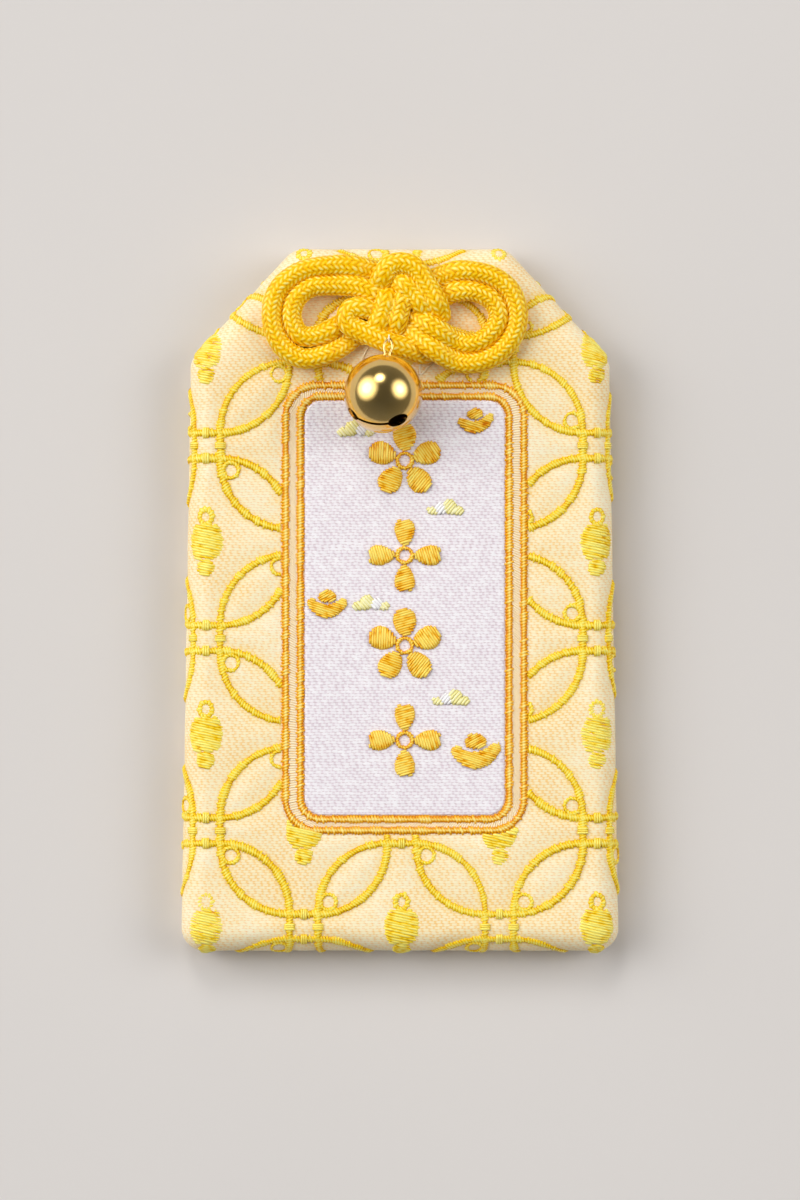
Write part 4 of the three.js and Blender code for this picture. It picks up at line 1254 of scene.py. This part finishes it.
filling = {
    "inset": 0.5, "rows": 80, "columns": 80, "softEdge": 1.0, "paperEdge": 0.1,
    "wrapperRows": 60, "wrapperRound": 0.35, "wrapperLeast": 0.05, "flap": 4.0, "flapStep": 0.1,
    "paper": 0.25, "footRound": 0.6, "footRoom": 0.35,
}


def padGrid(x, y, middle, rise):
    # two skins that share their outline: the upper one rises from the middle, the lower one mirrors it
    inner = np.zeros(x.shape, bool)
    inner[1:-1, 1:-1] = True
    below = np.arange(x.size).reshape(x.shape)
    below[inner] = x.size + np.arange(inner.sum())
    upper, lower = np.stack([x, y, middle + rise], -1), np.stack([x, y, middle - rise], -1)
    quads = gridFaces(*x.shape)
    points = np.concatenate([upper.reshape(-1, 3), lower[inner]])
    return points, np.concatenate([quads, below.ravel()[quads][:, ::-1]]), {}


# Non-woven polyester: matted white fibres, no gloss
def mattedFibre(name, pale, dusky, fibre):
    return grained(name, {"Roughness": 0.95, "Specular IOR Level": 0.15, "Sheen Weight": 0.2},
                   {"Scale": 1 / (fibre * mm), "Detail": 5.0, "Distortion": 1.5},
                   [(0.35, dusky), (0.65, pale)], {"Strength": 0.5, "Distance": 0.15 * mm})


def makeFilling():
    reach = (flatFace[:, 1].max() - filling["inset"]) * (1 - 1e-7)
    y = reach * spread(filling["rows"])
    halfWidth = halfWidthAt(y, -filling["inset"])
    flat = rowsAcross(y, halfWidth, spread(filling["columns"]))
    inset = -fromFlatFace(flat)[0] - filling["inset"]
    middle, half = nodeMiddle("wadding_sheet")
    soft = padGrid(flat[..., 0], flat[..., 1], middle[2], half[2] * quarterRound(inset, filling["softEdge"]))
    wadding = makePiece("waddingSheet", soft, mattedFibre("polyesterWadding", "#FBF9F4", "#EDE8DD", 0.9),
                        replaced=["wadding_sheet"])

    # a single flat layer, its rows from edge to edge
    middle, half = nodeMiddle("embroidery_backing")
    flat = rowsAcross(y, halfWidth, spread(filling["columns"], 0))
    points = np.insert(flat, 2, middle[2], axis=-1).reshape(-1, 3)
    backing = makePiece("embroideryBacking", (points, gridFaces(*flat.shape[:2]), {}),
                        mattedFibre("bondedInterlining", "#F7F4EE", "#E6E1D6", 0.5),
                        replaced=["embroidery_backing"])
    thicken(backing, 2 * half[2], 0)

    # Grey board: pressed pulp, speckled
    board = mattedFibre("greyBoard", "#B7AB98", "#98897A", 0.6)
    # Spun polyester sewing thread: dull, with fine fibres
    thread = mattedFibre("spunSewingThread", "#F5E6C4", "#DCC79A", 0.2)
    for node, material in (("stiffener_card", board), ("seam_thread", thread)):
        for slot in frame["nodes"][node].material_slots:
            slot.material = material


def makeTalisman():
    # Washi: soft white paper of long fibres, no gloss
    paper = mattedFibre("plainWashiPaper", "#FAF5E8", "#EFE7D2", 1.2)
    low, high = nodeBox("talisman_wrapper")
    middle, half = nodeMiddle("talisman_wrapper")
    # a flat tube of folded paper: outside from the closed foot up to the rim, then inside down again;
    # on the back one edge lies over the other, a step of one sheet
    rows, turn = filling["wrapperRows"], wholeTurn(filling["columns"])
    inside = np.linspace(high[1], low[1] + filling["footRoom"], rows)
    y = np.concatenate([np.linspace(low[1], high[1], rows), inside])
    wall = np.repeat([0, filling["paper"]], rows)[:, None]
    foot = np.sqrt(np.clip((y - y[[0, -1]].repeat(rows)) / filling["footRound"], 0, 1))[:, None]
    x = (half[0] - wall) * np.sign(np.cos(turn)) * np.abs(np.cos(turn)) ** 0.45
    edge = quarterRound(half[0] - wall - np.abs(x), filling["wrapperRound"])
    lap = np.where((np.sin(turn) < 0) & (x > filling["flap"]), filling["flapStep"], 0)
    thick = np.maximum(half[2] - wall - lap, filling["wrapperLeast"])
    z = middle[2] + np.sign(np.sin(turn)) * thick * edge * foot
    points = np.stack([x + middle[0], np.broadcast_to(y[:, None], x.shape), z], -1).reshape(-1, 3)
    # at the foot's fold, outside and inside, the back shares its points with the front
    k = np.arange(len(turn))
    same = np.arange(len(points))
    same[k] = np.minimum(k, -k % len(k))
    same[-len(k):] = len(points) - len(k) + same[k]
    faces = gridFaces(len(y), len(k), closedColumns=True)[:, ::-1]
    used, faces = np.unique(same[faces], return_inverse=True)
    makePiece("talismanWrapper", (points[used], faces.reshape(-1, 4), {}), paper, body="talisman",
              replaced=["talisman_wrapper"])

    middle, half = nodeMiddle("talisman_slip")
    x, y = np.meshgrid(half[0] * spread(filling["columns"]), half[1] * spread(filling["rows"]))
    inset = np.minimum(half[0] - np.abs(x), half[1] - np.abs(y))
    rise = half[2] * quarterRound(inset, filling["paperEdge"])
    slip = padGrid(x + middle[0], y + middle[1], middle[2], rise)
    makePiece("talismanSlip", slip, paper, body="talisman", replaced=["talisman_slip"])


makeFilling()
makeTalisman()
print("stage: filling and talisman in place")
